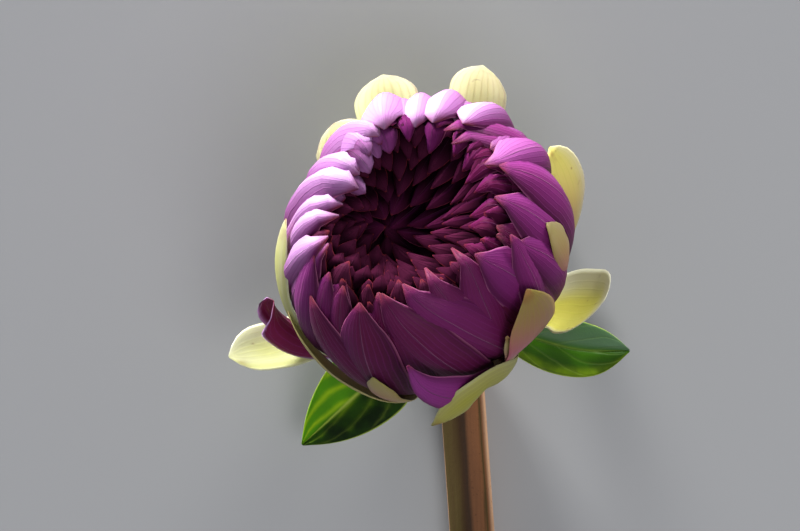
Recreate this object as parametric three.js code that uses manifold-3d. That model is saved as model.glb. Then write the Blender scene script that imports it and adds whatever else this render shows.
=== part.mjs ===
// A cut dahlia bud, half open, lying on a surface with its face turned up.
// Millimetres, +Z up, the stem along -Y. The origin is under the middle of the part, on the surface.
import * as THREE from "three";
import Module from "manifold-3d";

const wasm = await Module();
wasm.setup();
const { Manifold } = wasm;

// Driving sizes
const BUD_CENTRE_HEIGHT = 39; // above the surface
const BUD_CENTRE_ON_AXIS = 20; // above the receptacle's top, along the bud's axis
const TILT_FROM_STEM = 24; // degrees, the face leans away from the stem
const TILT_TO_LEFT = 11; // degrees
const BLADE = 0.7; // thickness of petals and bracts
const TIP_HALF = 0.35; // half width at which a blade's tip ends
const PIT_SHIFT = new THREE.Vector2(-5.6, 0.4); // the closed middle sits off the axis
const CORE_INSET = 1.1; // the petals stand this far out of the core, and more where they lie over others
const GOLDEN_ANGLE = THREE.MathUtils.degToRad(137.508);
const GAP = 0.3; // between pieces that touch
const SIMPLIFY = 0.04; // slivers below this are merged after fusing
const NECK_RADIUS = 4.65;
const RECEPTACLE_RADIUS = 8;
const RECEPTACLE_TOP = -GAP;
const STEM_SIDES = 24;
const STEM_RIDGES = 6;
const STEM_RIDGE = 0.12;
const STEM_AXIS_HEIGHT = 4.52; // a little under the radius, which gives the stem a narrow flat to lie on
const STEM_START = new THREE.Vector2(7.8, -24); // where it lies down, from the point under the bud's centre
const STEM_DIRECTION = new THREE.Vector3(0.0703, -1, 0);
const BEND_REACH = 6.5; // how round the neck bends into the stem
const STEM_END_Y = -114; // from the point under the bud's centre
const STEM_END_SLANT = 1.4;

// Half section of the bud: radius and height above the receptacle, from its foot over the rim
// to the middle of the pit
const ENVELOPE = [
  [9, 0],
  [18, 2],
  [25.8, 9],
  [29, 19],
  [28.2, 29],
  [24.2, 37],
  [19.4, 41.4],
  [16.6, 41.9],
  [14.4, 38.9],
  [11.6, 34.8],
  [8, 31.4],
  [4, 29.2],
  [0, 28.4],
];

// Outer petals: azimuth of the root, lean of the tip and the tip's distance along the section,
// half width, and how far the petal stands over the ones below
const OUTER_PETALS = [
  [258, -37, 48, 5.4, 1.6],
  [257, -9, 53.8, 7, 1.4],
  [294, -35, 56.5, 6.2, 1.1],
  [313, -41, 57.9, 6.2, 0.8],
  [303, -14, 59.4, 4.6, 0.3],
  [305, 9, 59.7, 4.4, 0.5],
  [336, -16, 57.3, 6.4, 1],
  [325, 16, 53.4, 4.4, 1.6],
  [349, -8, 50.5, 5.4, 1.4],
  [353, 6, 57.8, 6.4, 1],
  [7, 12, 56.8, 6.8, 1.5],
  [40, -18, 58.2, 5.8, 1.3],
  [24, 38, 58.6, 5.2, 0.7],
  [22, 30, 59.4, 4.6, 0.3],
  [60, -5, 56.9, 6, 1.6],
  [80, -8, 58.2, 6, 1.4],
  [92, -8, 59, 5, 0.8],
  [102, 3, 58.6, 6.2, 1.6],
  [148, -38, 59, 5, 1.1],
  [136, -16, 60.4, 5, 0.6],
  [154, -12, 60.6, 5.6, 1],
  [176, -20, 61.4, 6.4, 1.6],
  [187, -10, 61, 5.4, 1],
  [194, -4, 60.4, 5, 1.3],
  [196, 12, 58.6, 5.6, 1.6],
  [208, 4, 58.4, 5, 1],
  [222, -12, 56, 5.4, 1.4],
  [232, -8, 55.5, 4.6, 0.7],
  [245, -10, 55, 4.4, 0.6],
];
const PETAL_SHAPE = { root: 0.35, widest: 0.55, power: 1.75, cup: 0.45 };
const PETAL_ROWS = [0, 0.12, 0.36, 0.6, 0.82, 1];
const PETAL_ROOT = 1.5; // distance along the section
const SUNK = -2.7; // roots of the outer petals, under the bud's section
const PETAL_DEPTH = 2.2; // backs of the outer petals, sunk into the core
const UNDER_PETALS = 18;
const UNDER_PETAL_SHAPE = { half: 5.6, root: 0.4, widest: 0.5, power: 1.7, cup: 0.4, roll: 0.06 };
const UNDER_PETAL_ROOT = 28;

// Florets of the closed middle, sizes at the rim and how much less they are in the middle
const FLORET_LENGTH = 7;
const FLORET_WIDTH = 4.6;
const FLORET_WIDTH_LOSS = 1.4;
const FLORET_SPACING = 3.8;
const FLORET_SPACING_LOSS = 0.5;
const FLORET_SUNK = -3; // roots under the bud's section
const FLORET_LIFT = 4.3; // from root to tip

// Two petals that stand away from the bud, as stations of distance along the section, azimuth and stand-off
const LOOSE_PETAL = {
  stations: [
    [1.5, 309, SUNK],
    [10, 307, 1.5],
    [20, 304, 2.6],
    [30, 298, 3.6],
    [36, 290, 4.6],
    [38, 282, 5.3],
    [40, 274, 5.6],
    [43, 268.5, 5.4],
  ],
  half: 4.3,
  root: 0.4,
  widest: 0.62,
  power: 2,
  cup: 0.35,
  roll: -0.5,
};
const CURLED_PETAL = {
  stations: [
    [1.5, 212, SUNK],
    [10, 210, 1.2],
    [18, 206, 3.2],
    [22, 203, 4.3],
    [26, 200, 5],
    [30.6, 197, 5.6],
  ],
  half: 5.2,
  root: 0.4,
  widest: 0.7,
  power: 4,
  cup: -2.3,
  roll: 0,
};

// Inner bracts, as stations of distance along the section, azimuth and height over the petals
const BRACT_OFFSET = 3.1;
const CREAM_BRACTS = [
  {
    half: 7,
    stations: [[1.5, 106, 0], [14, 106, 0.5], [28, 105.5, 1.7], [35, 104.5, 2.6], [42, 102.7, 3.6]],
  },
  {
    half: 6.2,
    stations: [[1.5, 76, 0], [14, 75.5, 0.7], [25.5, 75, 2.6], [32, 73.5, 4.7], [38.5, 71.2, 6.7]],
  },
  { half: 6, stations: [[1.5, 131, 0], [15, 131, 0.3], [30, 131, 1], [40, 131, 1.7], [47, 131, 2.2]] },
  {
    half: 5,
    roll: -0.4,
    stations: [[1.5, 4, 1.6], [14, 3, 2.5], [25, 8, 3.2], [34, 18, 2.4], [41, 29, 1.4]],
  },
  {
    half: 7.2,
    stations: [[1.5, 346, 0.1], [8.6, 350, 2.7], [14, 354, 5.4], [18.6, 353, 7], [24.5, 350.5, 7.8]],
  },
  {
    half: 4.2,
    roll: -0.25,
    stations: [
      [1.5, 330, 0], [12, 322, 3], [24, 312, 4.3], [33, 302.5, 4.9],
      [33, 294, 5.4], [31, 285, 5.8], [29, 275.5, 6],
    ],
  },
  {
    half: 5.2,
    stations: [[1.5, 196, 0], [9, 198, 2.2], [15.7, 200, 5.8], [20.2, 200.5, 10], [25.5, 201.7, 15.4]],
  },
  {
    half: 3.3,
    stations: [[1.5, 232, 0.4], [14, 229, 0.2], [28, 224, 0.2], [40, 216.5, 0.3], [51, 198, 0.5]],
  },
  {
    half: 4.6,
    stations: [[1.5, 250, 0], [14, 247, 0.2], [26, 241.5, 0.4], [35, 235, 0.3], [42, 228, 0.1]],
  },
  {
    half: 4.6,
    stations: [[1.5, 318, 0], [14, 317, 0.2], [26, 316.5, 0.3], [36, 318, 0.2], [46.5, 323, 0]],
  },
  { half: 3.3, stations: [[1.5, 18, 0], [14, 8, 0.1], [27, -5, 0.3], [37, -8, 0.3], [46, -2, 0.1]] },
  { half: 3.4, stations: [[1.5, 262, 0], [15, 260, 0], [29, 257, 0], [40, 255.5, 0]] },
];
const BRACT_SHAPE = { root: 0.55, widest: 0.62, power: 3, cup: 0.55 };
const BRACT_ROWS = [0, 0.2, 0.4, 0.6, 0.78, 0.92, 0.99];
const BRACT_RING = { inner: RECEPTACLE_RADIUS + GAP, outer: 12, top: -2.3, bottom: -3.6, sides: 40 };

// Outer bracts: centre line from the neck to the tip, from the point on the surface under the bud's centre
const GREEN_BRACTS = [
  {
    half: 8.4,
    cup: 0.5,
    line: [[0.3, -16, 15.6], [-6, -23, 14.8], [-12.5, -29.2, 12.6], [-24.6, -39.8, 8.4]],
  },
  { half: 6.2, cup: 0.5, line: [[10.8, -13.2, 16.3], [21, -17.4, 16], [32, -20.4, 13.8], [43, -20.8, 9]] },
  { half: 5.6, cup: 0.25, line: [[-0.2, -7, 11.6], [-8, 0, 7.6], [-14, 6.5, 3.8], [-20, 12.5, -0.3]] },
  { half: 5.6, cup: 0.25, line: [[8.7, -5.7, 12.8], [13.6, 1.6, 9.2], [18.5, 9.5, 4.4], [23, 17, -0.3]] },
];

// Colours
const PURPLE = new THREE.MeshStandardMaterial({ color: 0x6b2f63, roughness: 0.55, metalness: 0 });
const CREAM = new THREE.MeshStandardMaterial({ color: 0xe6dfa2, roughness: 0.45, metalness: 0 });
const GREEN = new THREE.MeshStandardMaterial({ color: 0x3c6b1c, roughness: 0.4, metalness: 0 });
const STEM_BROWN = new THREE.MeshStandardMaterial({ color: 0x6a4a33, roughness: 0.6, metalness: 0 });

const smooth = (x) => THREE.MathUtils.smoothstep(x, 0, 1);
const clamp = (x) => THREE.MathUtils.clamp(x, 0, 1);
const radians = THREE.MathUtils.degToRad;

// A fixed, repeatable variation between -1 and 1 for petal `index`
const vary = (index, channel) => Math.sin(index * (2.399 + 1.37 * channel) + 1.3 * channel);

// The bud's surface of revolution, measured by the distance `arc` along its half section
const section = new THREE.SplineCurve(ENVELOPE.map(([r, h]) => new THREE.Vector2(r, h)));
const SECTION_LENGTH = section.getLength();

function sectionAt(arc) {
  const t = clamp(arc / SECTION_LENGTH);
  const point = section.getPointAt(t);
  const tangent = section.getTangentAt(t);
  return { r: point.x, h: point.y, tr: tangent.x, th: tangent.y };
}

// Distance along the section at which the rim is highest
function findCrest() {
  const steps = 400;
  let best = 0;
  for (let i = 1; i <= steps; i += 1) {
    const arc = (SECTION_LENGTH * i) / steps;
    if (sectionAt(arc).h > sectionAt(best).h) best = arc;
  }
  return best;
}
const CREST = findCrest();

// Share of the pit's sideways shift at `arc`
const pitShift = (arc) => smooth((arc - CREST + 2) / (SECTION_LENGTH - CREST + 2));

// Point and outward normal of the bud's surface, `off` above it
function surfacePoint(arc, azimuth, off) {
  const { r, h, tr, th } = sectionAt(arc);
  const inPit = pitShift(arc);
  const c = Math.cos(azimuth);
  const s = Math.sin(azimuth);
  const normal = new THREE.Vector3(th * c, th * s, -tr);
  const point = new THREE.Vector3(r * c + PIT_SHIFT.x * inPit, r * s + PIT_SHIFT.y * inPit, h);
  return { point: point.addScaledVector(normal, off), normal };
}

// Width of a blade along its length, as a share of its widest place
function outline(u, { root, widest, power }) {
  if (u < widest) return root + (1 - root) * smooth(u / widest);
  return 1 - clamp((u - widest) / (1 - widest)) ** power;
}

// Frame of a blade at `u`: centre, direction across and direction out of its face
function bladeFrame(line, u) {
  const step = 0.01;
  const here = line(u);
  const ahead = line(Math.min(u + step, 1)).point;
  const behind = line(Math.max(u - step, 0)).point;
  const along = ahead.sub(behind).normalize();
  const across = along.clone().cross(here.normal).normalize();
  const out = across.clone().cross(along);
  return { centre: here.point, across, out };
}

// Point of a blade `x` to the side of its centre line, bent to the shape's cup
function bladePoint(frame, shape, x) {
  const radius = shape.half / shape.cup;
  const rise = (shape.roll ?? 0) * x - radius * (1 - Math.cos(x / radius));
  return frame.centre
    .clone()
    .addScaledVector(frame.across, radius * Math.sin(x / radius))
    .addScaledVector(frame.out, rise);
}

// Solid of a closed mesh, with its faces turned outward
function manifoldOf(points, triangles) {
  const vertProperties = new Float32Array(points.flatMap((p) => p.toArray()));
  const solidOf = (list) =>
    new Manifold(new wasm.Mesh({ numProp: 3, vertProperties, triVerts: new Uint32Array(list.flat()) }));
  const solid = solidOf(triangles);
  return solid.volume() > 0 ? solid : solidOf(triangles.map(([a, b, c]) => [a, c, b]));
}

// The largest body of a fused solid: sealed hollows are filled and loose scraps dropped
function largestBody(solid) {
  return solid.decompose().reduce((best, body) => (body.volume() > best.volume() ? body : best));
}

// Closed blade: a grid of rows along it, split alike on both faces. `depth` is how far its back lies under
// its middle face: half its thickness, or more where the blade is one with the core below
function blade(line, shape, rows, columns, depth = BLADE / 2) {
  const points = [];
  for (const u of rows) {
    const frame = bladeFrame(line, u);
    const half = Math.max(shape.half * outline(u, shape), TIP_HALF);
    const radius = shape.half / shape.cup;
    for (let j = 0; j < columns; j += 1) {
      const x = half * (-1 + (2 * j) / (columns - 1));
      const bend = x / radius;
      const out = frame.out.clone().multiplyScalar(Math.cos(bend));
      out.addScaledVector(frame.across, Math.sin(bend));
      const middle = bladePoint(frame, shape, x);
      points.push(middle.clone().addScaledVector(out, BLADE / 2));
      points.push(middle.clone().addScaledVector(out, -depth));
    }
  }
  const at = (i, j, face) => (i * columns + j) * 2 + face;
  const triangles = [];
  const quad = (a, b, c, d) => triangles.push([a, b, c], [a, c, d]);
  for (let i = 0; i < rows.length - 1; i += 1) {
    for (let j = 0; j < columns - 1; j += 1) {
      quad(at(i, j, 0), at(i, j + 1, 0), at(i + 1, j + 1, 0), at(i + 1, j, 0));
      triangles.push([at(i, j, 1), at(i + 1, j + 1, 1), at(i, j + 1, 1)]);
      triangles.push([at(i, j, 1), at(i + 1, j, 1), at(i + 1, j + 1, 1)]);
    }
    quad(at(i, 0, 0), at(i + 1, 0, 0), at(i + 1, 0, 1), at(i, 0, 1));
    const edge = columns - 1;
    quad(at(i, edge, 0), at(i, edge, 1), at(i + 1, edge, 1), at(i + 1, edge, 0));
  }
  const last = rows.length - 1;
  for (let j = 0; j < columns - 1; j += 1) {
    quad(at(0, j, 0), at(0, j, 1), at(0, j + 1, 1), at(0, j + 1, 0));
    quad(at(last, j, 0), at(last, j + 1, 0), at(last, j + 1, 1), at(last, j, 1));
  }
  return manifoldOf(points, triangles);
}

// Centre line of an outer petal, from its sunk root up over the rim
function petalLine(azimuth, lean, root, tip, level) {
  return (u) => {
    const raised = smooth(u / 0.12);
    const off = SUNK * (1 - raised) + level * (0.6 + 0.7 * u ** 1.5) * raised;
    return surfacePoint(root + (tip - root) * u, radians(azimuth + lean * u ** 3), off);
  };
}

// Centre line through stations of distance along the section, azimuth and stand-off
function stationLine(stations, offset = 0) {
  const curve = new THREE.CatmullRomCurve3(
    stations.map(([arc, azimuth, off]) => new THREE.Vector3(arc, azimuth, off + offset)),
    false,
    "catmullrom",
  );
  return (u) => {
    const { x, y, z } = curve.getPoint(u);
    return surfacePoint(x, radians(y), z);
  };
}

function outerPetals() {
  return OUTER_PETALS.map(([azimuth, lean, tip, half, level]) => {
    const line = petalLine(azimuth, lean, PETAL_ROOT, tip, level);
    return blade(line, { ...PETAL_SHAPE, half }, PETAL_ROWS, 3, level + PETAL_DEPTH);
  });
}

// A second ring under the outer petals closes the gaps between them
function underPetals() {
  const rows = [0, 0.35, 0.7, 1];
  return Array.from({ length: UNDER_PETALS }, (_, k) => {
    const azimuth = THREE.MathUtils.radToDeg(k * GOLDEN_ANGLE + 0.5);
    const lean = -9 + 9 * vary(k, 3);
    const level = 0.4 * ((k * 0.618) % 1) - 0.2;
    const line = petalLine(azimuth, lean, UNDER_PETAL_ROOT, CREST + 1.2 + vary(k, 2), level);
    return blade(line, UNDER_PETAL_SHAPE, rows, 3, PETAL_DEPTH);
  });
}

// One floret of the closed middle: a keeled spear whose root is sunk in the core
function floret(index, arc, width, radius) {
  const tip = arc + 0.5 * vary(index, 1);
  const turn = 0.1 * vary(index, 2) * Math.min(1, 3 / radius);
  const lean = (-0.2 + 0.16 * vary(index, 5)) * Math.min(1, 8 / radius);
  const lift = FLORET_LIFT + 0.5 * vary(index, 6);
  const line = (u) => {
    const azimuth = index * GOLDEN_ANGLE + turn + lean * u * u;
    return surfacePoint(tip - FLORET_LENGTH * (1 - u), azimuth, FLORET_SUNK + lift * u);
  };
  const half = 0.6 * width;
  const roll = 0.1 * vary(index, 4);
  const keel = 0.35 * half;
  const back = 0.45;
  const points = [];
  for (const [u, share] of [[0, 0.75], [0.5, 1]]) {
    const { centre, across, out } = bladeFrame(line, u);
    const x = half * share;
    points.push(centre.clone().addScaledVector(across, -x).addScaledVector(out, -roll * x));
    points.push(centre.clone().addScaledVector(out, keel * (0.4 + 0.6 * u)));
    points.push(centre.clone().addScaledVector(across, x).addScaledVector(out, roll * x));
    points.push(centre.clone().addScaledVector(out, -back));
  }
  points.push(line(1).point);
  const triangles = [[0, 1, 2], [0, 2, 3]];
  for (let j = 0; j < 4; j += 1) {
    const next = (j + 1) % 4;
    triangles.push([j, j + 4, next + 4], [j, next + 4, next], [j + 4, 8, next + 4]);
  }
  return manifoldOf(points, triangles);
}

// Florets from the rim down to the middle, each with its own share of the surface
function florets() {
  const rim = CREST + 0.4;
  const middle = SECTION_LENGTH - 0.6;
  const steps = 900;
  const step = (middle - rim) / steps;
  const solids = [];
  let filled = 0;
  for (let i = 0; i < steps; i += 1) {
    const arc = rim + step * (i + 0.5);
    const closed = smooth((1.2 * (arc - CREST)) / (SECTION_LENGTH - CREST));
    const width = FLORET_WIDTH - FLORET_WIDTH_LOSS * closed;
    const spacing = FLORET_SPACING - FLORET_SPACING_LOSS * closed;
    const { r } = sectionAt(arc);
    filled += (2 * Math.PI * r * step) / (width * spacing);
    if (filled < solids.length + 0.5) continue;
    const index = OUTER_PETALS.length + UNDER_PETALS + solids.length;
    solids.push(floret(index, arc, width, Math.max(r, 1)));
  }
  return solids;
}

// The bud's inner mass, which all petals grow out of
function core() {
  const sides = 22;
  const spacing = 5.2;
  const rings = [{ r: RECEPTACLE_RADIUS - 0.4, h: 0, shift: 0 }];
  for (let arc = 3; arc < SECTION_LENGTH - 2; arc += spacing) {
    const { r, h, tr, th } = sectionAt(arc);
    rings.push({ r: r - th * CORE_INSET, h: h + tr * CORE_INSET, shift: pitShift(arc) });
  }
  const points = [];
  for (const { r, h, shift } of rings) {
    for (let j = 0; j < sides; j += 1) {
      const a = (2 * Math.PI * j) / sides;
      const x = r * Math.cos(a) + PIT_SHIFT.x * shift;
      const y = r * Math.sin(a) + PIT_SHIFT.y * shift;
      points.push(new THREE.Vector3(x, y, h));
    }
  }
  const foot = points.length;
  const pit = ENVELOPE.at(-1)[1] - CORE_INSET;
  points.push(new THREE.Vector3(0, 0, 0), new THREE.Vector3(PIT_SHIFT.x, PIT_SHIFT.y, pit));
  const triangles = [];
  const lastRing = (rings.length - 1) * sides;
  for (let j = 0; j < sides; j += 1) {
    const next = (j + 1) % sides;
    triangles.push([foot, next, j], [foot + 1, lastRing + j, lastRing + next]);
    for (let i = 0; i < lastRing; i += sides) {
      triangles.push([i + j, i + next, i + sides + next], [i + j, i + sides + next, i + sides + j]);
    }
  }
  return manifoldOf(points, triangles);
}

function bloom() {
  const looseRows = [0, 0.15, 0.35, 0.55, 0.72, 0.88, 1];
  const curledRows = [0, 0.15, 0.35, 0.55, 0.75, 1];
  const loose = blade(stationLine(LOOSE_PETAL.stations), LOOSE_PETAL, looseRows, 4);
  const curled = blade(stationLine(CURLED_PETAL.stations), CURLED_PETAL, curledRows, 7);
  const all = Manifold.union([core(), ...underPetals(), ...outerPetals(), ...florets(), loose, curled]);
  return largestBody(all.simplify(SIMPLIFY));
}

// The inner bracts grow together at a ring round the receptacle
function creamBracts() {
  const blades = CREAM_BRACTS.map(({ stations, half, roll = 0 }) =>
    blade(stationLine(stations, BRACT_OFFSET), { ...BRACT_SHAPE, half, roll }, BRACT_ROWS, 4),
  );
  const { inner, outer, top, bottom, sides } = BRACT_RING;
  const height = top - bottom;
  const disc = Manifold.cylinder(height, outer, outer, sides).translate([0, 0, bottom]);
  const hole = Manifold.cylinder(height + 2, inner, inner, sides).translate([0, 0, bottom - 1]);
  return largestBody(Manifold.union([disc, ...blades]).subtract(hole).simplify(SIMPLIFY));
}

// From the bud's own frame to the part's: the axis leans, and the bud's centre stays over the origin
function budMatrix() {
  const back = radians(TILT_FROM_STEM);
  const left = radians(TILT_TO_LEFT);
  const axis = new THREE.Vector3(-Math.sin(left), Math.tan(back), Math.cos(left)).normalize();
  const turn = new THREE.Quaternion().setFromUnitVectors(new THREE.Vector3(0, 0, 1), axis);
  const foot = new THREE.Vector3(0, 0, BUD_CENTRE_HEIGHT).addScaledVector(axis, -BUD_CENTRE_ON_AXIS);
  return new THREE.Matrix4().compose(foot, turn, new THREE.Vector3(1, 1, 1));
}
const BUD_MATRIX = budMatrix();

const budPoint = (x, y, z) => new THREE.Vector3(x, y, z).applyMatrix4(BUD_MATRIX);

// Stations down the stem: centre, direction and radius, from the receptacle's top to the cut end
function stemStations() {
  const axis = new THREE.Vector3(0, 0, 1).transformDirection(BUD_MATRIX);
  const down = axis.clone().negate();
  const profile = [
    [RECEPTACLE_TOP, RECEPTACLE_RADIUS - 0.5],
    [RECEPTACLE_TOP - 0.6, RECEPTACLE_RADIUS],
    [-4.2, RECEPTACLE_RADIUS],
    [-6.6, 6.4],
    [-9, 5.1],
  ];
  const stations = profile.map(([h, radius]) => ({ centre: budPoint(0, 0, h), along: down, radius }));
  const neck = budPoint(0, 0, -11);
  const lie = STEM_DIRECTION.clone().normalize();
  const start = new THREE.Vector3(STEM_START.x, STEM_START.y, STEM_AXIS_HEIGHT);
  const bend = new THREE.CubicBezierCurve3(
    neck,
    neck.clone().addScaledVector(down, BEND_REACH),
    start.clone().addScaledVector(lie, -BEND_REACH),
    start,
  );
  const bendSteps = 6;
  for (let i = 0; i <= bendSteps; i += 1) {
    const t = i / bendSteps;
    stations.push({ centre: bend.getPoint(t), along: bend.getTangent(t), radius: NECK_RADIUS });
  }
  const length = (start.y - STEM_END_Y) / -lie.y;
  const lengthSteps = 6;
  for (let i = 1; i <= lengthSteps; i += 1) {
    const centre = start.clone().addScaledVector(lie, (length * i) / lengthSteps);
    stations.push({ centre, along: lie, radius: NECK_RADIUS });
  }
  return stations;
}

// The stem with its neck and receptacle: rings of low ridges along the stations, lying on a narrow flat
function stem() {
  const stations = stemStations();
  const points = [];
  for (const [i, { centre, along, radius }] of stations.entries()) {
    const side = along.clone().cross(new THREE.Vector3(0.2, 0.4, 1)).normalize();
    const top = side.clone().cross(along);
    const ridge = radius > NECK_RADIUS ? 0 : STEM_RIDGE;
    for (let j = 0; j < STEM_SIDES; j += 1) {
      const a = (2 * Math.PI * j) / STEM_SIDES;
      const r = radius + ridge * Math.cos(STEM_RIDGES * a);
      const point = centre.clone().addScaledVector(side, r * Math.cos(a));
      point.addScaledVector(top, r * Math.sin(a));
      if (i === stations.length - 1) point.addScaledVector(along, STEM_END_SLANT * Math.cos(a));
      points.push(point);
    }
  }
  const first = points.length;
  points.push(stations[0].centre.clone(), stations.at(-1).centre.clone());
  const triangles = [];
  const lastRing = (stations.length - 1) * STEM_SIDES;
  for (let j = 0; j < STEM_SIDES; j += 1) {
    const next = (j + 1) % STEM_SIDES;
    triangles.push([first, j, next], [first + 1, lastRing + next, lastRing + j]);
    for (let i = 0; i < lastRing; i += STEM_SIDES) {
      const below = i + STEM_SIDES;
      triangles.push([i + j, below + next, i + next], [i + j, below + j, below + next]);
    }
  }
  return manifoldOf(points, triangles).trimByPlane([0, 0, 1], 0);
}

// A leafy outer bract along its line; where it reaches the surface, it ends in a flat
function greenBract({ line, half, cup }) {
  const curve = new THREE.CatmullRomCurve3(
    line.map((p) => new THREE.Vector3(...p)),
    false,
    "catmullrom",
  );
  const up = new THREE.Vector3(0, 0, 1);
  const centreLine = (u) => ({ point: curve.getPoint(u), normal: up.clone() });
  const shape = { half, root: 0.4, widest: 0.42, power: 1.5, cup: -cup };
  const rows = [0, 0.1, 0.22, 0.36, 0.5, 0.64, 0.78, 0.9, 1];
  return blade(centreLine, shape, rows, 5).trimByPlane([0, 0, 1], 0);
}

// A named three.js mesh of a finished solid
function meshOf(name, solid, material) {
  const { vertProperties, triVerts, numProp } = solid.getMesh();
  const position = new Float32Array((vertProperties.length / numProp) * 3);
  for (let i = 0; i < position.length / 3; i += 1) {
    position.set(vertProperties.subarray(i * numProp, i * numProp + 3), i * 3);
  }
  const geometry = new THREE.BufferGeometry();
  geometry.setAttribute("position", new THREE.BufferAttribute(position, 3));
  geometry.setIndex(new THREE.BufferAttribute(new Uint32Array(triVerts), 1));
  const mesh = new THREE.Mesh(geometry, material);
  mesh.name = name;
  return mesh;
}

function dahliaBud() {
  const part = new THREE.Group();
  part.name = "dahlia_bud";
  const head = [meshOf("bloom", bloom(), PURPLE), meshOf("cream_bracts", creamBracts(), CREAM)];
  for (const mesh of head) mesh.geometry.applyMatrix4(BUD_MATRIX);
  part.add(...head, meshOf("stem", stem(), STEM_BROWN));
  GREEN_BRACTS.forEach((bract, i) => part.add(meshOf(`green_bract_${i + 1}`, greenBract(bract), GREEN)));
  const box = new THREE.Box3().setFromObject(part);
  const middle = box.getCenter(new THREE.Vector3());
  for (const mesh of part.children) mesh.geometry.translate(-middle.x, -middle.y, 0);
  return part;
}

export default dahliaBud();
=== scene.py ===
"""A cut dahlia bud, half open, lying with its face up: petals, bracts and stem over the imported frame.

Lengths are in millimetres until a mesh is finished. A blade is a petal or a bract. Its guide is a row of
points down its middle, each with a direction across the blade and one out of its face.
"""
import math

import bpy
import numpy as np
from bpy.props import FloatProperty, FloatVectorProperty, IntProperty, PointerProperty
from mathutils import Matrix, Vector


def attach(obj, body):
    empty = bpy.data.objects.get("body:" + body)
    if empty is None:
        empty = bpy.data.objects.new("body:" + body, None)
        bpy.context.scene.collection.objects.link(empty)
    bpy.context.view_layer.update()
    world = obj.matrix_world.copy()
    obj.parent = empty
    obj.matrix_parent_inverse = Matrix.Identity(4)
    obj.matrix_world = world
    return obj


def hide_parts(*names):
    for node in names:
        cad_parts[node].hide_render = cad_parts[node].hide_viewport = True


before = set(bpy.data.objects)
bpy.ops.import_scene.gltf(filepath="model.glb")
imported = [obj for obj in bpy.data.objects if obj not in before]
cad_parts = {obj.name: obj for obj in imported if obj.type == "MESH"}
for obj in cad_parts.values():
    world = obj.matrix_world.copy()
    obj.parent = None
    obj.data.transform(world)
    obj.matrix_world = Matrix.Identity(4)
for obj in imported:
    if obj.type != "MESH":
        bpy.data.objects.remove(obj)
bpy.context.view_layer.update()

bl_info = {
    "name": "Dahlia bud",
    "version": (1, 0, 0),
    "blender": (4, 5, 0),
    "location": "3D View > Sidebar > Dahlia",
    "description": "Builds the petals, bracts and stem of a half-open dahlia bud",
    "category": "Object",
}

MM = 0.001
GOLDEN_ANGLE = math.radians(137.508)

# The bud's place, tilt and section, as in the CAD source
BUD_HEIGHT = 39.0
BUD_ON_AXIS = 20.0
TILT_FROM_STEM = math.radians(24)
TILT_TO_LEFT = math.radians(11)
PIT_SHIFT = (-5.6, 0.4)
SECTION = (
    (9, 0), (18, 2), (25.8, 9), (29, 19), (28.2, 29), (24.2, 37), (19.4, 41.4), (16.6, 41.9),
    (14.4, 38.9), (11.6, 34.8), (8, 31.4), (4, 29.2), (0, 28.4),
)
# Sides of the bud that lie in, each by azimuth and half angle in degrees and depth: two lie in below the
# rim, and one over it as well
FLAT_SIDES = ((315, 40, 2.8), (192, 42, 2.2))
PRESSED_SIDE = (150, 32, 3.6)

# Azimuths of sides that differ in colour and form, in degrees
SUNNY_SIDE = 124
RIGHT = 5
LOWER_LEFT = 203
FRONT = 245
FRONT_OF_RIM = 248
RIGHT_OF_RIM = 300
LEFT_OF_RIM = 160
# Toward the sun whose light and shade are painted on the two sides of each blade, in the bud's own frame
SUN = np.array([math.cos(math.radians(125)), math.sin(math.radians(125)), 0.0])

# Where a petal starts along the section, how deep it starts, and how far below the crest its flare begins
PETAL_ROOT = 1.5
SUNK = -2.7
FLARE_REACH = 5
# A petal's stand-off is its level over the flat one, times the lift; its half width is scaled too
FLAT_LEVEL = 0.4
PETAL_LIFT = 1.2
PETAL_WIDTH = 0.97
UNDER_PETALS = 22
BRACT_OFFSET = 2.3
# Rim petals: length, how deep the root lies, and how far past the crest each row reaches
RIM_PETAL_LENGTH = 20
RIM_PETAL_SUNK = 3
RIM_ROWS = (4.4, 1.0)
# Florets: the first one's number in the spiral, and how deep their roots lie
FIRST_FLORET = 47
FLORET_SUNK = -4.3
# How far the inner mass lies under the petals at the rim, and the sides that it is drawn with
CORE_INSET = 3.4
CORE_SIDES = 64

# Azimuth of the root, lean of the tip, the tip's place along the section, half width, level
OUTER_PETALS = (
    (258, -37, 48, 5.4, 1.6), (257, -9, 53.8, 7, 1.4), (294, -35, 56.5, 6.2, 1.1),
    (313, -41, 57.9, 6.2, 0.8), (303, -14, 59.4, 4.6, 0.3), (305, 9, 59.7, 4.4, 0.5),
    (336, -16, 57.3, 6.4, 1), (325, 16, 53.4, 4.4, 1.6), (349, -8, 50.5, 5.4, 1.4),
    (353, 6, 57.8, 6.4, 1), (7, 12, 56.8, 6.8, 1.5), (40, -18, 58.2, 5.8, 1.3),
    (24, 38, 58.6, 5.2, 0.7), (22, 30, 59.4, 4.6, 0.3), (60, -5, 56.9, 6, 1.6),
    (80, -8, 58.2, 6, 1.4), (92, -8, 59, 5, 0.8), (102, 3, 58.6, 6.2, 1.6),
    (148, -38, 59, 5, 1.1), (136, -16, 60.4, 5, 0.6), (154, -12, 60.6, 5.6, 1),
    (176, -20, 61.4, 6.4, 1.6), (187, -10, 61, 5.4, 1), (194, -4, 60.4, 5, 1.3),
    (196, 12, 58.6, 5.6, 1.6), (208, 4, 58.4, 5, 1), (222, -12, 56, 5.4, 1.4),
    (232, -8, 55.5, 4.6, 0.7), (245, -10, 55, 4.4, 0.6),
)

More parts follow.
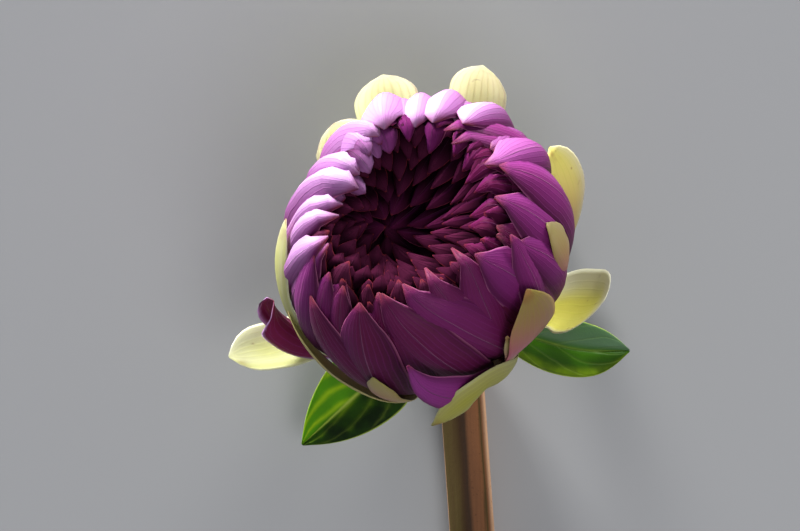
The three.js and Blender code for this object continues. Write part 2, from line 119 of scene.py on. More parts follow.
# Stations: place along the section, azimuth and stand-off
LOOSE_PETAL = (
    (1.5, 309, SUNK), (10, 307, 1.5), (20, 302.5, 2.6), (26.5, 294.5, 3.6), (30.8, 287, 5), (34.5, 281, 5.8),
    (39, 275, 6.1), (43.8, 270.5, 5.4),
)
CURLED_PETAL = (
    (1.5, 212, SUNK), (10, 210, 1.2), (18, 206, 3.2), (22, 203, 4.3), (26, 200, 5), (30.6, 197, 5.6),
)

# Half width, its place along the blade, roll, green (yellow below 0), tan, and stations, whose stand-off
# comes on top of BRACT_OFFSET
INNER_BRACTS = (
    (7, 0.7, 0, 0, 0,
     ((1.5, 106, 0), (14, 106, 0.9), (28, 105.5, 2.2), (35, 104.5, 3.1), (42, 102.7, 4.7))),
    (6.4, 0.68, 0, 0, 0,
     ((1.5, 76, 0), (14, 75.5, 0.7), (25.5, 75, 2.6), (32, 73.5, 5.2), (38.5, 71.2, 7.4))),
    (6, 0.66, 0, 0, 0,
     ((1.5, 128, 0), (15, 128, 0), (30, 128, 0.2), (38, 128, 0.6), (44, 127, 1.2))),
    (7.2, 0.76, 0.78, -0.8, 0.45,
     ((1.5, 9, 0.3), (14, 9, 0), (24, 13, -0.3), (31, 20.5, 0.2), (38, 35, 0.7))),
    (8.3, 0.64, 0.28, -0.9, 0,
     ((1.5, 345, 0.1), (8.6, 348.5, 2.7), (14, 351.5, 5.4), (18.6, 350, 7.2), (24.5, 347.5, 8))),
    (4.2, 0.36, -0.2, 0.85, 0,
     ((1.5, 316, 0.4), (12, 311, 1.6), (22, 304, 1.8), (29, 297, 2.4), (31.5, 289, 4.2), (31, 281, 5.4),
      (29, 273.5, 6.4))),
    (5.8, 0.72, 0, 0, 0,
     ((1.5, 196, 0), (9, 198, 2.4), (15.7, 200, 6.2), (20.2, 201, 10.8), (26, 202.8, 17.2))),
    (4.4, 0.66, 0, 0.35, 0,
     ((1.5, 226, 0.2), (14, 222, 0), (28, 212, 0.4), (39, 200, 0.9), (50, 183, 1.5))),
    (3, 0.66, 0.3, 0.7, 0.35,
     ((1.5, 262, 0), (12, 262, 0), (20, 254, 0.5), (26, 240, 0.5), (31, 224, 0.5), (36, 209, 0.5))),
    (6.8, 0.76, 0, 0.3, 0.9,
     ((1.5, 319, -1), (14, 317, -2), (25, 316.5, -0.3), (34, 319.5, 1.8), (44.5, 325.5, 2.4))),
    (1.9, 0.7, 0, 0.2, 0.6,
     ((1.5, 309, 0), (14, 309, -1.5), (25, 309, 0), (32, 309, 0.9), (38.5, 309, 1.2))),
    (3.8, 0.8, 0, 0.3, 0.7,
     ((1.5, 18, -1), (14, 8, -1.5), (27, -5, -1.5), (36, -8, -0.4), (46, -5, 0))),
    (2.9, 0.74, 0, 0.4, 0.6,
     ((1.5, 262, 0), (15, 260, 0.2), (28, 257, 0.6), (38, 255.5, 0.8))),
)

# Half width, cup, contrast of painted sunlight and shade between the halves, painted grey-green reflection,
# and points of the middle line from under the bud's centre
OUTER_BRACTS = (
    (8.9, 0.5, 1, 0, ((-0.4, -15.2, 15.6), (-6.4, -22.4, 14.8), (-12.8, -28.9, 12.6), (-25.2, -40.4, 8.2))),
    (6.2, 0.5, -0.15, 0.8, ((10.8, -13.2, 16.3), (21, -17.4, 16), (32, -20.4, 13.8), (43, -20.8, 9))),
    (5.6, 0.25, 0.4, 0.3, ((-0.2, -7, 11.6), (-8, 0, 7.6), (-14, 6.5, 4), (-20, 12.5, 0.7))),
    (5.6, 0.25, 0.4, 0.3, ((8.7, -5.7, 12.8), (13.6, 1.6, 9.2), (18.5, 9.5, 4.6), (23, 17, 0.7))),
)

# The stem, from under the bud's centre, and the receptacle by height on the bud's axis and radius
STEM_START = (7.8, -24.0, 4.52)
STEM_DIRECTION = (0.0703, -1.0, 0.0)
STEM_END_Y = -114.0
NECK_RADIUS = 4.65
NECK_TOP = -11
BEND_REACH = 6.5
CUT_SLANT = 1.4
RECEPTACLE = ((-0.3, 7.5), (-0.9, 8.0), (-4.2, 8.0), (-6.6, 6.4), (-9.0, 5.1))

# What a blade's mesh carries for its material
CARRIED = ("along", "across", "tone", "shade", "sunward")

# Each light's name, place from the bud's centre and size, in metres
LIGHTS = (("key", (-1.2, 2.3, 0.12), 0.6), ("rim", (0.9, 2.1, 0.3), 0.6), ("fill", (0.26, -0.32, 0.84), 0.5))
# The camera's place beside the bud's centre
VIEW_OFFSET = (-4.8, -3.1)


def smooth(x):
    """Smooth step from 0 to 1."""
    x = np.clip(x, 0, 1)
    return x * x * (3 - 2 * x)


def vary(index, channel):
    """A fixed, repeatable variation between -1 and 1."""
    return math.sin(index * (2.399 + 1.37 * channel) + 1.3 * channel)


def toward(side, azimuth, gain=1.0, start=0.0):
    """How far an azimuth lies toward a side of the bud, from 0 to 1; degrees."""
    return smooth(gain * math.cos(math.radians(azimuth - side)) + start)


def sunny(azimuth):
    """1 for the sunny side of the bud, where sunlight is painted on as lilac, 0 for the opposite side;
    degrees.
    """
    return toward(SUNNY_SIDE, azimuth, 0.95, 0.18)


def catmull_rom(points, parameter):
    """Uniform Catmull-Rom spline through the points, with doubled ends, at parameters from 0 to 1."""
    p = np.array(points, float)
    t = np.clip(np.asarray(parameter, float), 0, 1) * (len(p) - 1)
    i = np.minimum(t.astype(int), len(p) - 2)
    t = (t - i)[:, None]
    a, b, c, d = p[np.maximum(i - 1, 0)], p[i], p[i + 1], p[np.minimum(i + 2, len(p) - 1)]
    v0, v1 = (c - a) / 2, (d - b) / 2
    return (2 * b - 2 * c + v0 + v1) * t**3 + (-3 * b + 3 * c - 2 * v0 - v1) * t**2 + v0 * t + b


def spline(points, parameter):
    """Uniform Catmull-Rom spline whose ends run straight on, as three.js draws it."""
    p = [np.array(point, float) for point in points]
    inner = len(p) - 1
    p = [2 * p[0] - p[1], *p, 2 * p[-1] - p[-2]]
    return catmull_rom(p, (1 + np.asarray(parameter, float) * inner) / (inner + 2))


class BudSection:
    """Half section of the bud, looked up by the distance along it."""

    def __init__(self):
        curve = catmull_rom(SECTION, np.linspace(0, 1, 2401))
        steps = np.hypot(*np.diff(curve, axis=0).T)
        self.arcs = np.concatenate([[0], np.cumsum(steps)])
        self.length = self.arcs[-1]
        slope = np.gradient(curve, self.arcs, axis=0)
        slope /= np.linalg.norm(slope, axis=1, keepdims=True)
        self.table = np.column_stack([curve, slope])
        self.crest = self.arcs[np.argmax(curve[:, 1])]

    def at(self, arc):
        """Radius, height and direction at `arc`; past the middle of the pit it goes on across it."""
        beyond = np.where(np.asarray(arc) > self.length, -1, 1)
        arc = np.clip(np.minimum(arc, 2 * self.length - arc), 0, self.length)
        r, h, tr, th = (np.interp(arc, self.arcs, column) for column in self.table.T)
        return r * beyond, h, tr, th * beyond

    def depth(self, arc):
        """0 on the crest of the rim, 1 in the middle of the pit."""
        return (arc - self.crest) / (self.length - self.crest)

    def flattening(self, arc, azimuth):
        """How far the flatter sides lie in at a place of the bud."""
        def inward(side, spread, depth):
            turn = np.angle(np.exp(1j * (azimuth - math.radians(side)))) / math.radians(spread)
            return depth * np.exp(-turn * turn)
        below_rim = sum(inward(*side) for side in FLAT_SIDES) * smooth((self.crest - arc) / 12)
        return smooth(arc / 15) * (below_rim + inward(*PRESSED_SIDE) * smooth((self.length - arc) / 18))

    def surface(self, arc, azimuth, off):
        """Points and outward normals `off` above the bud; azimuth in radians."""
        r, h, tr, th = self.at(arc)
        r = r - self.flattening(arc, azimuth)
        c, s = np.cos(azimuth), np.sin(azimuth)
        normal = np.stack([th * c, th * s, -tr], -1)
        shift = smooth((arc - self.crest + 2) / (self.length - self.crest + 2))
        point = np.stack([r * c + PIT_SHIFT[0] * shift, r * s + PIT_SHIFT[1] * shift, h], -1)
        return point + normal * np.asarray(off)[..., None], normal


BUD = BudSection()


def petal_path(azimuth, lean, tip, level, flare=0.0):
    """Middle line of a petal, from its sunk root up over the rim, where its tip may flare off the bud."""
    def path(u):
        raised = smooth(u / 0.12)
        arc = PETAL_ROOT + (tip - PETAL_ROOT) * u
        off = SUNK * (1 - raised) + level * (0.6 + 0.7 * u**1.5) * raised
        off = off + flare * np.maximum(arc - BUD.crest + FLARE_REACH, 0) ** 2
        return BUD.surface(arc, np.radians(azimuth + lean * u**3), off)
    return path


def rim_path(azimuth, lean, tip, level):
    """Middle line of a rim petal, which comes out from under the outer ones only near its tip."""
    def path(u):
        off = level - RIM_PETAL_SUNK * (1 - u**2.5)
        return BUD.surface(tip - RIM_PETAL_LENGTH * (1 - u), np.radians(azimuth + lean * u * u), off)
    return path


def station_path(stations, offset=0.0):
    """Middle line through stations of place along the section, azimuth and stand-off."""
    def path(u):
        arc, azimuth, off = spline(stations, u).T
        return BUD.surface(arc, np.radians(azimuth), off + offset)
    return path


def floret_path(index, tip, radius, length, lift):
    """Middle line of a floret, rising out of the bud's closed middle."""
    turn = 0.1 * vary(index, 2) * min(1, 3 / radius)
    lean = (-0.2 + 0.16 * vary(index, 5)) * min(1, 8 / radius)
    def path(u):
        azimuth = index * GOLDEN_ANGLE + turn + lean * u * u
        return BUD.surface(tip - length * (1 - u), azimuth, FLORET_SUNK + lift * u)
    return path


def leaf_path(points):
    """Middle line of a leafy bract through points, its face turned up."""
    def path(u):
        line = spline(points, u)
        return line, np.broadcast_to([0.0, 0.0, 1.0], line.shape)
    return path


def guide(path, rows):
    """Centre, direction across and direction out of the face at each row of a blade."""
    u = np.linspace(0, 1, rows)
    step = 0.01
    centre, normal = path(u)
    along = path(np.minimum(u + step, 1))[0] - path(np.maximum(u - step, 0))[0]
    along /= np.linalg.norm(along, axis=1, keepdims=True)
    across = np.cross(along, normal)
    across /= np.linalg.norm(across, axis=1, keepdims=True)
    return centre, across, np.cross(across, along)


def joined_by(operation, swapped=False):
    """An operator of Wire, which joins it with another value by a Math or Vector Math node."""
    def method(self, other):
        values = (other, self) if swapped else (self, other)
        return self.join(operation, *values)
    return method


class Wire:
    """A node socket for use in Python sums: every operation adds its node."""

    def __init__(self, net, socket):
        self.net, self.socket = net, socket

    def join(self, operation, *values):
        """Values and wires joined by a Math node, or by Vector Math where one is a vector."""
        vectors = [v for v in values if isinstance(v, Wire) and v.socket.type in ("VECTOR", "RGBA")]
        if len(vectors) == 1 and operation == "MULTIPLY":
            number = next(v for v in values if v is not vectors[0])
            sockets = {0: vectors[0], "Scale": number}
            return self.net.wire("ShaderNodeVectorMath", {"operation": "SCALE"}, sockets)
        kind = "ShaderNodeVectorMath" if vectors else "ShaderNodeMath"
        return self.net.wire(kind, {"operation": operation}, dict(enumerate(values)))

    __add__ = __radd__ = joined_by("ADD")
    __mul__ = __rmul__ = joined_by("MULTIPLY")
    __sub__ = joined_by("SUBTRACT")
    __rsub__ = joined_by("SUBTRACT", swapped=True)
    __truediv__ = joined_by("DIVIDE")
    __rtruediv__ = joined_by("DIVIDE", swapped=True)
    __pow__ = joined_by("POWER")

    def __neg__(self):
        return self * -1.0

    def apply(self, operation, *others):
        """Any other operation of the Math node."""
        return self.join(operation, self, *others)

    def clamp(self):
        return self.net.wire("ShaderNodeClamp", {}, {"Value": self})

    def smooth(self):
        """Smooth step of the value between 0 and 1."""
        x = self.clamp()
        return x * x * (3.0 - 2.0 * x)

    def band(self, low, high):
        """0 below `low`, 1 above `high`, smooth between."""
        return ((self - low) / (high - low)).smooth()


class Net:
    """A node tree that is being filled."""

    def __init__(self, tree):
        self.tree = tree

    def node(self, kind, settings=None, sockets=None):
        """Adds a node: its settings first, then the value or link of each socket."""
        made = self.tree.nodes.new(kind)
        for name, value in (settings or {}).items():
            if name == "stops":
                self.set_stops(made.color_ramp.elements, value)
            else:
                setattr(made, name, value)
        for key, value in (sockets or {}).items():
            socket = made.inputs[key]
            if isinstance(key, str):
                socket = next(s for s in made.inputs if s.name == key and s.enabled)
            if isinstance(value, Wire):
                self.tree.links.new(value.socket, socket)
            else:
                socket.default_value = value
        return made

    @staticmethod
    def set_stops(elements, stops):
        while len(elements) < len(stops):
            elements.new(1.0)
        for element, (position, colour) in zip(elements, stops):
            element.position = position
            element.color = (*colour[:3], 1.0)

    def wire(self, kind, settings=None, sockets=None, out=0):
        """The named or numbered output of a new node."""
        made = self.node(kind, settings, sockets)
        if isinstance(out, str):
            return Wire(self, next(s for s in made.outputs if s.name == out and s.enabled))
        return Wire(self, made.outputs[out])

    def mix(self, share, first, second):
        """Two colours mixed by a share from 0 to 1."""
        a, b = (c if isinstance(c, Wire) else (*c[:3], 1.0) for c in (first, second))
        return self.wire("ShaderNodeMix", {"data_type": "RGBA"}, {0: share, 6: a, 7: b}, 2)

    def paint(self, body, *layers):
        """A colour with others laid over it in turn, each by its own share."""
        for share, colour in layers:
            body = self.mix(share, body, colour)
        return body

    def ramp(self, value, *stops):
        return self.wire("ShaderNodeValToRGB", {"stops": stops}, {"Fac": value}, "Color")

    def noise(self, vector, scale, detail=2.0):
        return self.wire("ShaderNodeTexNoise", {}, {"Vector": vector, "Scale": scale, "Detail": detail})

    def attribute(self, name):
        """A number that a material's mesh carries."""
        return self.wire("ShaderNodeAttribute", {"attribute_name": name}, {}, "Fac")

    def place(self):
        """The place on the object, which a material's patterns follow."""
        return self.wire("ShaderNodeTexCoord", {}, {}, "Object")

    def bump(self, height, distance):
        sockets = {"Strength": 1.0, "Distance": distance, "Height": height}
        return self.wire("ShaderNodeBump", {}, sockets, "Normal")

    def axes(self, vector):
        """The X, Y and Z of a vector."""
        parts = self.node("ShaderNodeSeparateXYZ", {}, {0: vector})
        return [Wire(self, socket) for socket in parts.outputs]

    def store(self, geometry, name, value, kind="FLOAT", domain="POINT"):
        """Geometry with a value stored on it under a name."""
        sockets = {"Geometry": geometry, "Name": name, "Value": value}
        return self.wire("GeometryNodeStoreNamedAttribute", {"data_type": kind, "domain": domain}, sockets)

    def read(self, name, kind="FLOAT"):
        """A value that was stored under a name."""
        return self.wire("GeometryNodeInputNamedAttribute", {"data_type": kind}, {"Name": name}, "Attribute")

    def sampler(self, guides, row):
        """A function that reads a value of the guide points at a row; places and directions are vectors."""
        def sample(name):
            kind = "FLOAT_VECTOR" if name == "position" or name.startswith("guide_") else "FLOAT"
            value = self.wire("GeometryNodeInputPosition") if name == "position" else self.read(name, kind)
            sockets = {"Geometry": guides, "Value": value, "Index": row}
            return self.wire("GeometryNodeSampleIndex", {"data_type": kind, "domain": "POINT"}, sockets)
        return sample


def new_tree(name, output, inputs):
    """A Geometry Nodes tree with named inputs, each with its kind, default and limits; its net and wires."""
    tree = bpy.data.node_groups.new(name, "GeometryNodeTree")
    for label, kind, *limits in inputs:
        socket = tree.interface.new_socket(label, in_out="INPUT", socket_type=f"NodeSocket{kind}")
        if limits:
            socket.default_value, socket.min_value, socket.max_value = limits
    tree.interface.new_socket(output, in_out="OUTPUT", socket_type="NodeSocketGeometry")
    net = Net(tree)
    entry = tree.nodes.new("NodeGroupInput")
    return net, {socket.name: Wire(net, socket) for socket in entry.outputs if socket.name}


def close_tree(net, geometry, finish):
    """Ends a tree with smooth shading, real geometry and its material."""
    geometry = net.wire("GeometryNodeSetShadeSmooth", {}, {"Geometry": geometry, "Shade Smooth": True})
    geometry = net.wire("GeometryNodeRealizeInstances", {}, {"Geometry": geometry})
    geometry = net.wire("GeometryNodeSetMaterial", {}, {"Geometry": geometry, "Material": finish})
    net.node("NodeGroupOutput", {}, {0: geometry})
    return net.tree


def blade_width(u, sample, least):
    """Half width down a blade: it swells from the root to its widest place and closes to the tip."""
    half, root, widest, power = (sample(name) for name in ("half", "root", "widest", "power"))
    rise = root + (1.0 - root) * (u / widest).smooth()
    fall = 1.0 - ((u - widest) / (1.0 - widest)).clamp() ** power
    before = u.apply("LESS_THAN", widest)
    return (half * (before * rise + (1.0 - before) * fall)).apply("MAXIMUM", least)


def blade_relief(given, sample, u, v, side, width, blade):
    """Height over the cupped blade: keel, a fold that grows with the tone (high on the sunny side), groove
    along the middle, waving margin.
    """
    tone = sample("tone")
    ridge = (side * side + (width * 0.12) ** 2.0).apply("SQRT")
    keel = given["Keel"] * (width - ridge) + given["Fold"] * tone.clamp() * (width * 0.5 - ridge)
    groove = given["Groove"] * (1.0 - (side * 1.4).apply("ABSOLUTE")).clamp() * u.band(0.05, 0.4)
    seed = blade * 2.399
    wave = (u * 17.0 + seed + v * 0.8).apply("SINE") * (u * 9.0 + seed * 1.7).apply("COSINE")
    wave = wave * v.apply("ABSOLUTE") ** 3.0 * u.band(0.2, 0.6) * (1.0 - u.band(0.85, 0.97))
    calm = 0.8 * tone.apply("ABSOLUTE").clamp()
    return keel * (u * 1.3).smooth() - groove + given["Margin wave"] * wave * (1.0 - calm)


def blade_tree():
    """Geometry Nodes: one closed blade along each guide, with its cup, keel, waves and thin margin."""
    net, given = new_tree("Blades along guides", "Blades", (
        ("Guides", "Geometry"), ("Rows", "Int", 25, 3, 60), ("Columns", "Int", 13, 3, 41),
        ("Thickness", "Float", 0.5, 0.1, 2), ("Keel", "Float", 0, -1, 1), ("Fold", "Float", 0, 0, 1),
        ("Margin wave", "Float", 0, 0, 2), ("Groove", "Float", 0, 0, 1),
        ("Tip half width", "Float", 0.25, 0.05, 1), ("Finish", "Material"),
    ))
    guides, rows = given["Guides"], given["Rows"]
    cube_sockets = {"Size": (2, 1, 2), "Vertices X": given["Columns"], "Vertices Y": rows, "Vertices Z": 2}
    blank = net.wire("GeometryNodeMeshCube", {}, cube_sockets, "Mesh")
    x, y, z = net.axes(net.wire("GeometryNodeInputPosition"))
    for name, value in (("across", x), ("along", y + 0.5), ("face", z)):
        blank = net.store(blank, name, value)
    component = {"component": "MESH"}
    size = net.wire("GeometryNodeAttributeDomainSize", component, {"Geometry": guides}, "Point Count")
    points = net.wire("GeometryNodePoints", {}, {"Count": (size / rows).apply("ROUND")})
    blades = net.wire("GeometryNodeInstanceOnPoints", {}, {"Points": points, "Instance": blank})
    blades = net.store(blades, "blade", net.wire("GeometryNodeInputIndex"), "INT", "INSTANCE")
    blades = net.wire("GeometryNodeRealizeInstances", {}, {"Geometry": blades})

    u, v, face, blade = net.read("along"), net.read("across"), net.read("face"), net.read("blade", "INT")
    sample = net.sampler(guides, blade * rows + (u * (rows - 1.0)).apply("ROUND"))
    width = blade_width(u, sample, given["Tip half width"])
    side = v * width
    radius = sample("half") / sample("cup")
    bend = side / radius
    thin_margin = 1.0 - 0.8 * v.apply("ABSOLUTE") ** 5.0
    thin_tip = 1.0 - 0.6 * u.band(0.85, 1.0)
    out = (
        sample("roll") * side - radius * (1.0 - bend.apply("COSINE"))
        + blade_relief(given, sample, u, v, side, width, blade)
        + face * given["Thickness"] * 0.5 * thin_margin * thin_tip
    )
    across = sample("guide_across") * (radius * bend.apply("SINE"))
    place = sample("position") + across + sample("guide_out") * out
    carried = {name: sample(name) for name in ("tone", "shade", "sunward")}
    blades = net.wire("GeometryNodeSetPosition", {}, {"Geometry": blades, "Position": place})
    for name, value in carried.items():
        blades = net.store(blades, name, value)
    return close_tree(net, blades, given["Finish"])


def tube_tree():
    """Geometry Nodes: one closed ribbed tube along a guide of rings, its seam and poles merged."""
    net, given = new_tree("Ribbed tube along a guide", "Tube", (
        ("Guide", "Geometry"), ("Rows", "Int", 60, 3, 400), ("Sides", "Int", 96, 12, 200),
        ("Ridges", "Float", 6, 0, 20), ("Ridge height", "Float", 0.12, 0, 1), ("Ribs", "Float", 24, 0, 60),
        ("Rib height", "Float", 0.05, 0, 1), ("Floor height", "Float", 0, -100, 100), ("Finish", "Material"),
    ))
    rows = given["Rows"]
    sockets = {"Size X": 1.0, "Size Y": 1.0, "Vertices X": given["Sides"] + 1.0, "Vertices Y": rows}
    skin = net.wire("GeometryNodeMeshGrid", {}, sockets, "Mesh")
    x, y, _ = net.axes(net.wire("GeometryNodeInputPosition"))
    skin = net.store(net.store(skin, "turn", x + 0.5), "row", y + 0.5)
    sample = net.sampler(given["Guide"], (net.read("row") * (rows - 1.0)).apply("ROUND"))
    angle = net.read("turn") * (2 * math.pi)
    ridges = given["Ridge height"] * (angle * given["Ridges"]).apply("COSINE")
    ribs = given["Rib height"] * (angle * given["Ribs"]).apply("COSINE").apply("ABSOLUTE")
    radius = sample("radius") + sample("ribbed") * (ridges - ribs)
    slant = sample("slant") * angle.apply("COSINE") * sample("radius") / NECK_RADIUS
    x, y, height = net.axes(
        sample("position")
        + sample("guide_side") * (radius * angle.apply("COSINE"))
        + sample("guide_top") * (radius * angle.apply("SINE"))
        + sample("guide_along") * slant
    )
    parts = {0: x, 1: y, 2: height.apply("MAXIMUM", given["Floor height"])}
    place = net.wire("ShaderNodeCombineXYZ", {}, parts)
    carried = {"length": sample("length"), "end": sample("end"), "from_axis": radius / NECK_RADIUS}
    skin = net.wire("GeometryNodeSetPosition", {}, {"Geometry": skin, "Position": place})
    for name, value in carried.items():
        skin = net.store(skin, name, value)
    skin = net.wire("GeometryNodeMergeByDistance", {}, {"Geometry": skin, "Distance": 0.001})
    return close_tree(net, skin, given["Finish"])


def tree_named(name, make):
    return bpy.data.node_groups.get(name) or make()


def points_mesh(name, points, attributes):
    """A mesh of loose points that carry attributes; vectors are rows of three."""
    mesh = bpy.data.meshes.new(name)
    mesh.from_pydata([tuple(p) for p in points], [], [])
    for key, values in attributes.items():
        values = np.asarray(values, np.float32)
        kind, field = ("FLOAT_VECTOR", "vector") if values.ndim == 2 else ("FLOAT", "value")
        mesh.attributes.new(key, kind, "POINT").data.foreach_set(field, values.ravel())
    return mesh


def placed(name, data):
    """A new object in the scene."""
    made = bpy.data.objects.new(name, data)
    bpy.context.scene.collection.objects.link(made)
    return made


def grown(name, points, attributes, tree, inputs):
    """The plain mesh object that a Geometry Nodes tree grows from guide points."""
    source = placed(name + "_guides", points_mesh(name + "_guides", points, attributes))
    modifier = source.modifiers.new("Grow", "NODES")
    modifier.node_group = tree
    sockets = {s.name: s.identifier for s in tree.interface.items_tree if s.in_out == "INPUT"}
    for key, value in inputs.items():
        modifier[sockets[key]] = value
    depsgraph = bpy.context.evaluated_depsgraph_get()
    mesh = bpy.data.meshes.new_from_object(source.evaluated_get(depsgraph), preserve_all_data_layers=True,
                                           depsgraph=depsgraph)
    bpy.data.objects.remove(source)
    if not mesh.polygons:
        raise RuntimeError(f"{name}: the node tree made no faces")
    mesh.name = name
    return placed(name, mesh)


def bud_origin():
    """The point under the bud's centre in the part's frame, found from the stem's cut end."""
    points = np.array([v.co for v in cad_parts["stem"].data.vertices]) / MM
    end = points[points[:, 1] < points[:, 1].min() + 3]
    middle = (end.min(0) + end.max(0)) / 2
    length = (STEM_START[1] - STEM_END_Y) / -STEM_DIRECTION[1]
    return Vector((middle[0] - STEM_START[0] - STEM_DIRECTION[0] * length, middle[1] - STEM_END_Y, 0))


def bud_matrix():
    """From the bud's own frame to the point under its centre."""
    axis = Vector((-math.sin(TILT_TO_LEFT), math.tan(TILT_FROM_STEM), math.cos(TILT_TO_LEFT))).normalized()
    turn = Vector((0, 0, 1)).rotation_difference(axis).to_matrix().to_4x4()
    return Matrix.Translation(Vector((0, 0, BUD_HEIGHT)) - axis * BUD_ON_AXIS) @ turn


ORIGIN = bud_origin()
BUD_MATRIX = bud_matrix()


def settle(piece, matrix=None):
    """Puts a piece made in millimetres in its place in the part's frame, with its object at the origin."""
    place = Matrix.Translation(ORIGIN) @ (matrix or Matrix.Identity(4))
    piece.data.transform(Matrix.Scale(MM, 4) @ place)
    return piece


def hand_in(piece, slot, *nodes):
    """Ties a finished piece to the part."""
    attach(piece, "root")
    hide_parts(*nodes)


class Blades:
    """Guides of several blades, gathered for one Geometry Nodes run."""

    def __init__(self, rows):
        self.rows = rows
        self.columns = {}

    def add(self, path, half, root, widest, power, cup, roll=0.0, tone=0.0, shade=0.0):
        """Adds a blade: half width, its share at the root, widest place, how blunt the tip is, and cup."""
        centre, across, out = guide(path, self.rows)
        values = {
            "position": centre, "guide_across": across, "guide_out": out, "half": half, "root": root,
            "widest": widest, "power": power, "cup": cup, "roll": roll, "tone": tone, "shade": shade,
            "sunward": across @ SUN,
        }
        for key, value in values.items():
            value = value if isinstance(value, np.ndarray) else np.full(self.rows, float(value))
            self.columns.setdefault(key, []).append(value)

    def grow(self, name, finish, columns, thickness, matrix=BUD_MATRIX, **inputs):
        """One mesh of all blades, in its place; `thickness` is in metres, `inputs` go to the node tree."""
        attributes = {key: np.concatenate(values) for key, values in self.columns.items()}
        points = attributes.pop("position")
        settings = {"Rows": self.rows, "Columns": columns, "Thickness": thickness / MM, "Finish": finish}
        settings.update({key.replace("_", " ").capitalize(): value for key, value in inputs.items()})
        tree = tree_named("Blades along guides", blade_tree)
        return settle(grown(name, points, attributes, tree, settings), matrix)


def new_material(name):
    material = bpy.data.materials.new(name)
    material.use_nodes = True
    material.node_tree.nodes.clear()
    return material, Net(material.node_tree)


def plain_finish(name, colour, specular):
    """One dull colour all over."""
    material, net = new_material(name)
    sockets = {"Base Color": (*colour, 1.0), "Roughness": 0.9, "Specular IOR Level": specular}
    surface = net.wire("ShaderNodeBsdfPrincipled", {}, sockets)
    net.node("ShaderNodeOutputMaterial", {}, {"Surface": surface})
    return material


def finish_blade(net, colour, through, share, roughness, bump, depth, specular, sheen=0.0):
    """Surface of a thin plant blade: a soft gloss over colour, and one colour of light from behind."""
    sockets = {
        "Base Color": colour, "Roughness": roughness, "Normal": net.bump(bump, depth), "Sheen Weight": sheen,
        "Sheen Roughness": 0.35, "Specular IOR Level": specular,
    }
    front = net.wire("ShaderNodeBsdfPrincipled", {}, sockets)
    behind = net.wire("ShaderNodeBsdfTranslucent", {}, {"Color": (*through[:3], 1.0)})
    surface = net.wire("ShaderNodeMixShader", {}, {0: share, 1: front, 2: behind})
    net.node("ShaderNodeOutputMaterial", {}, {"Surface": surface})


def veins(net, across, along, count, place):
    """Fine lines down a blade, 0 between and 1 on a line, that wander a little."""
    wander = net.noise(place, 180.0, 1.0) - 0.5
    line = ((across * count + wander * 1.1 + along * 0.4) * math.pi).apply("COSINE")
    return (line * 0.5 + 0.5) ** 10.0


def petal_finish(colours, name, lines, specular):
    """Petal: pale base, veins, light rim and red tip, with painted lilac sunlight and painted shade away
    from the sun; dark where it is shaded.
    """
    material, net = new_material(name)
    place = net.place()
    u, v, tone, shade, sunward = (net.attribute(carried) for carried in CARRIED)
    # Above 0 on the side of a blade toward the sun, for painted light; below 0 away from it, for painted
    # shade
    edge, sunlit_side = v.apply("ABSOLUTE"), v * sunward
    lit, crimson = (1.0 - shade).clamp(), (-tone).clamp()
    patchy = net.noise(place, 90.0, 3.0)
    line = veins(net, v, u, lines, place)
    rib = 1.0 - edge.band(0.0, 0.03)
    # Partly painted light: a petal's side toward the sun and the toned petals lighter, with random patches
    light = (patchy.band(0.4, 0.8) * 0.2 + sunlit_side.band(0.0, 0.8) * 0.45 + tone.band(0.0, 0.25)).clamp()
    # Painted shade: a petal's side away from the sun, and toward its margins where the neighbours shade it
    dark = ((-sunlit_side).band(0.0, 0.7) * 0.5 + edge.band(0.5, 0.9) * 0.42).clamp()
    # Painted sunlight: lilac on the toned petals of the sunny side, strongest on each petal's side toward
    # the sun
    lilac = (tone.band(0.1, 0.9) * u.band(0.52, 0.92) * (0.55 + 0.3 * patchy + 1.1 * sunlit_side)).clamp()
    # Painted shade at the sunk base of a shaded blade, and over all of it where shade passes 0.9
    depth = (shade.band(0.1, 0.3) * (1.0 - u.band(0.5, 0.97))).apply("MAXIMUM", (shade - 0.9) * 1.2)
    vein = net.mix(lilac, colours.petal_vein, colours.petal_pale)
    fringe = edge.band(0.92, 1.0) * u.band(0.3, 0.7) * (0.55 + 0.25 * lit)
    fringe = fringe + crimson * edge.band(0.82, 1.0) * 0.6
    rim = net.mix(crimson, net.mix(shade, colours.petal_edge, colours.red_edge), colours.petal_lilac)
    body = net.paint(
        net.ramp(u, (0.0, colours.petal_base), (0.28, colours.petal_base), (0.46, colours.petal)),
        (light * u.band(0.4, 0.8), colours.petal_light),
        (dark, colours.petal_painted_shade),
        (crimson, colours.petal_crimson),
        (lilac * (1.0 - 0.1 * line), colours.petal_lilac),
        (shade, colours.pit),
        (depth, colours.deep),
        (line * 0.26 * lit * (1.0 - lilac), colours.petal_light),
        (rib * u.band(0.1, 0.3) * (0.05 + 0.4 * lit), vein),
        (fringe, rim),
        (u.band(0.955, 1.0) * (0.35 + 0.4 * edge), colours.red_edge),
    )
    relief = line * (0.25 - 0.2 * lilac) + rib * (0.8 - 0.7 * lilac) + patchy * 0.4
    relief = relief + net.noise(place, 1400.0) * 0.2
    finish_blade(net, body, colours.petal_glow, 0.18 * lit, 0.42 + 0.2 * patchy, relief, depth=0.25 * MM,
                 specular=specular, sheen=0.1 * specular)
    return material


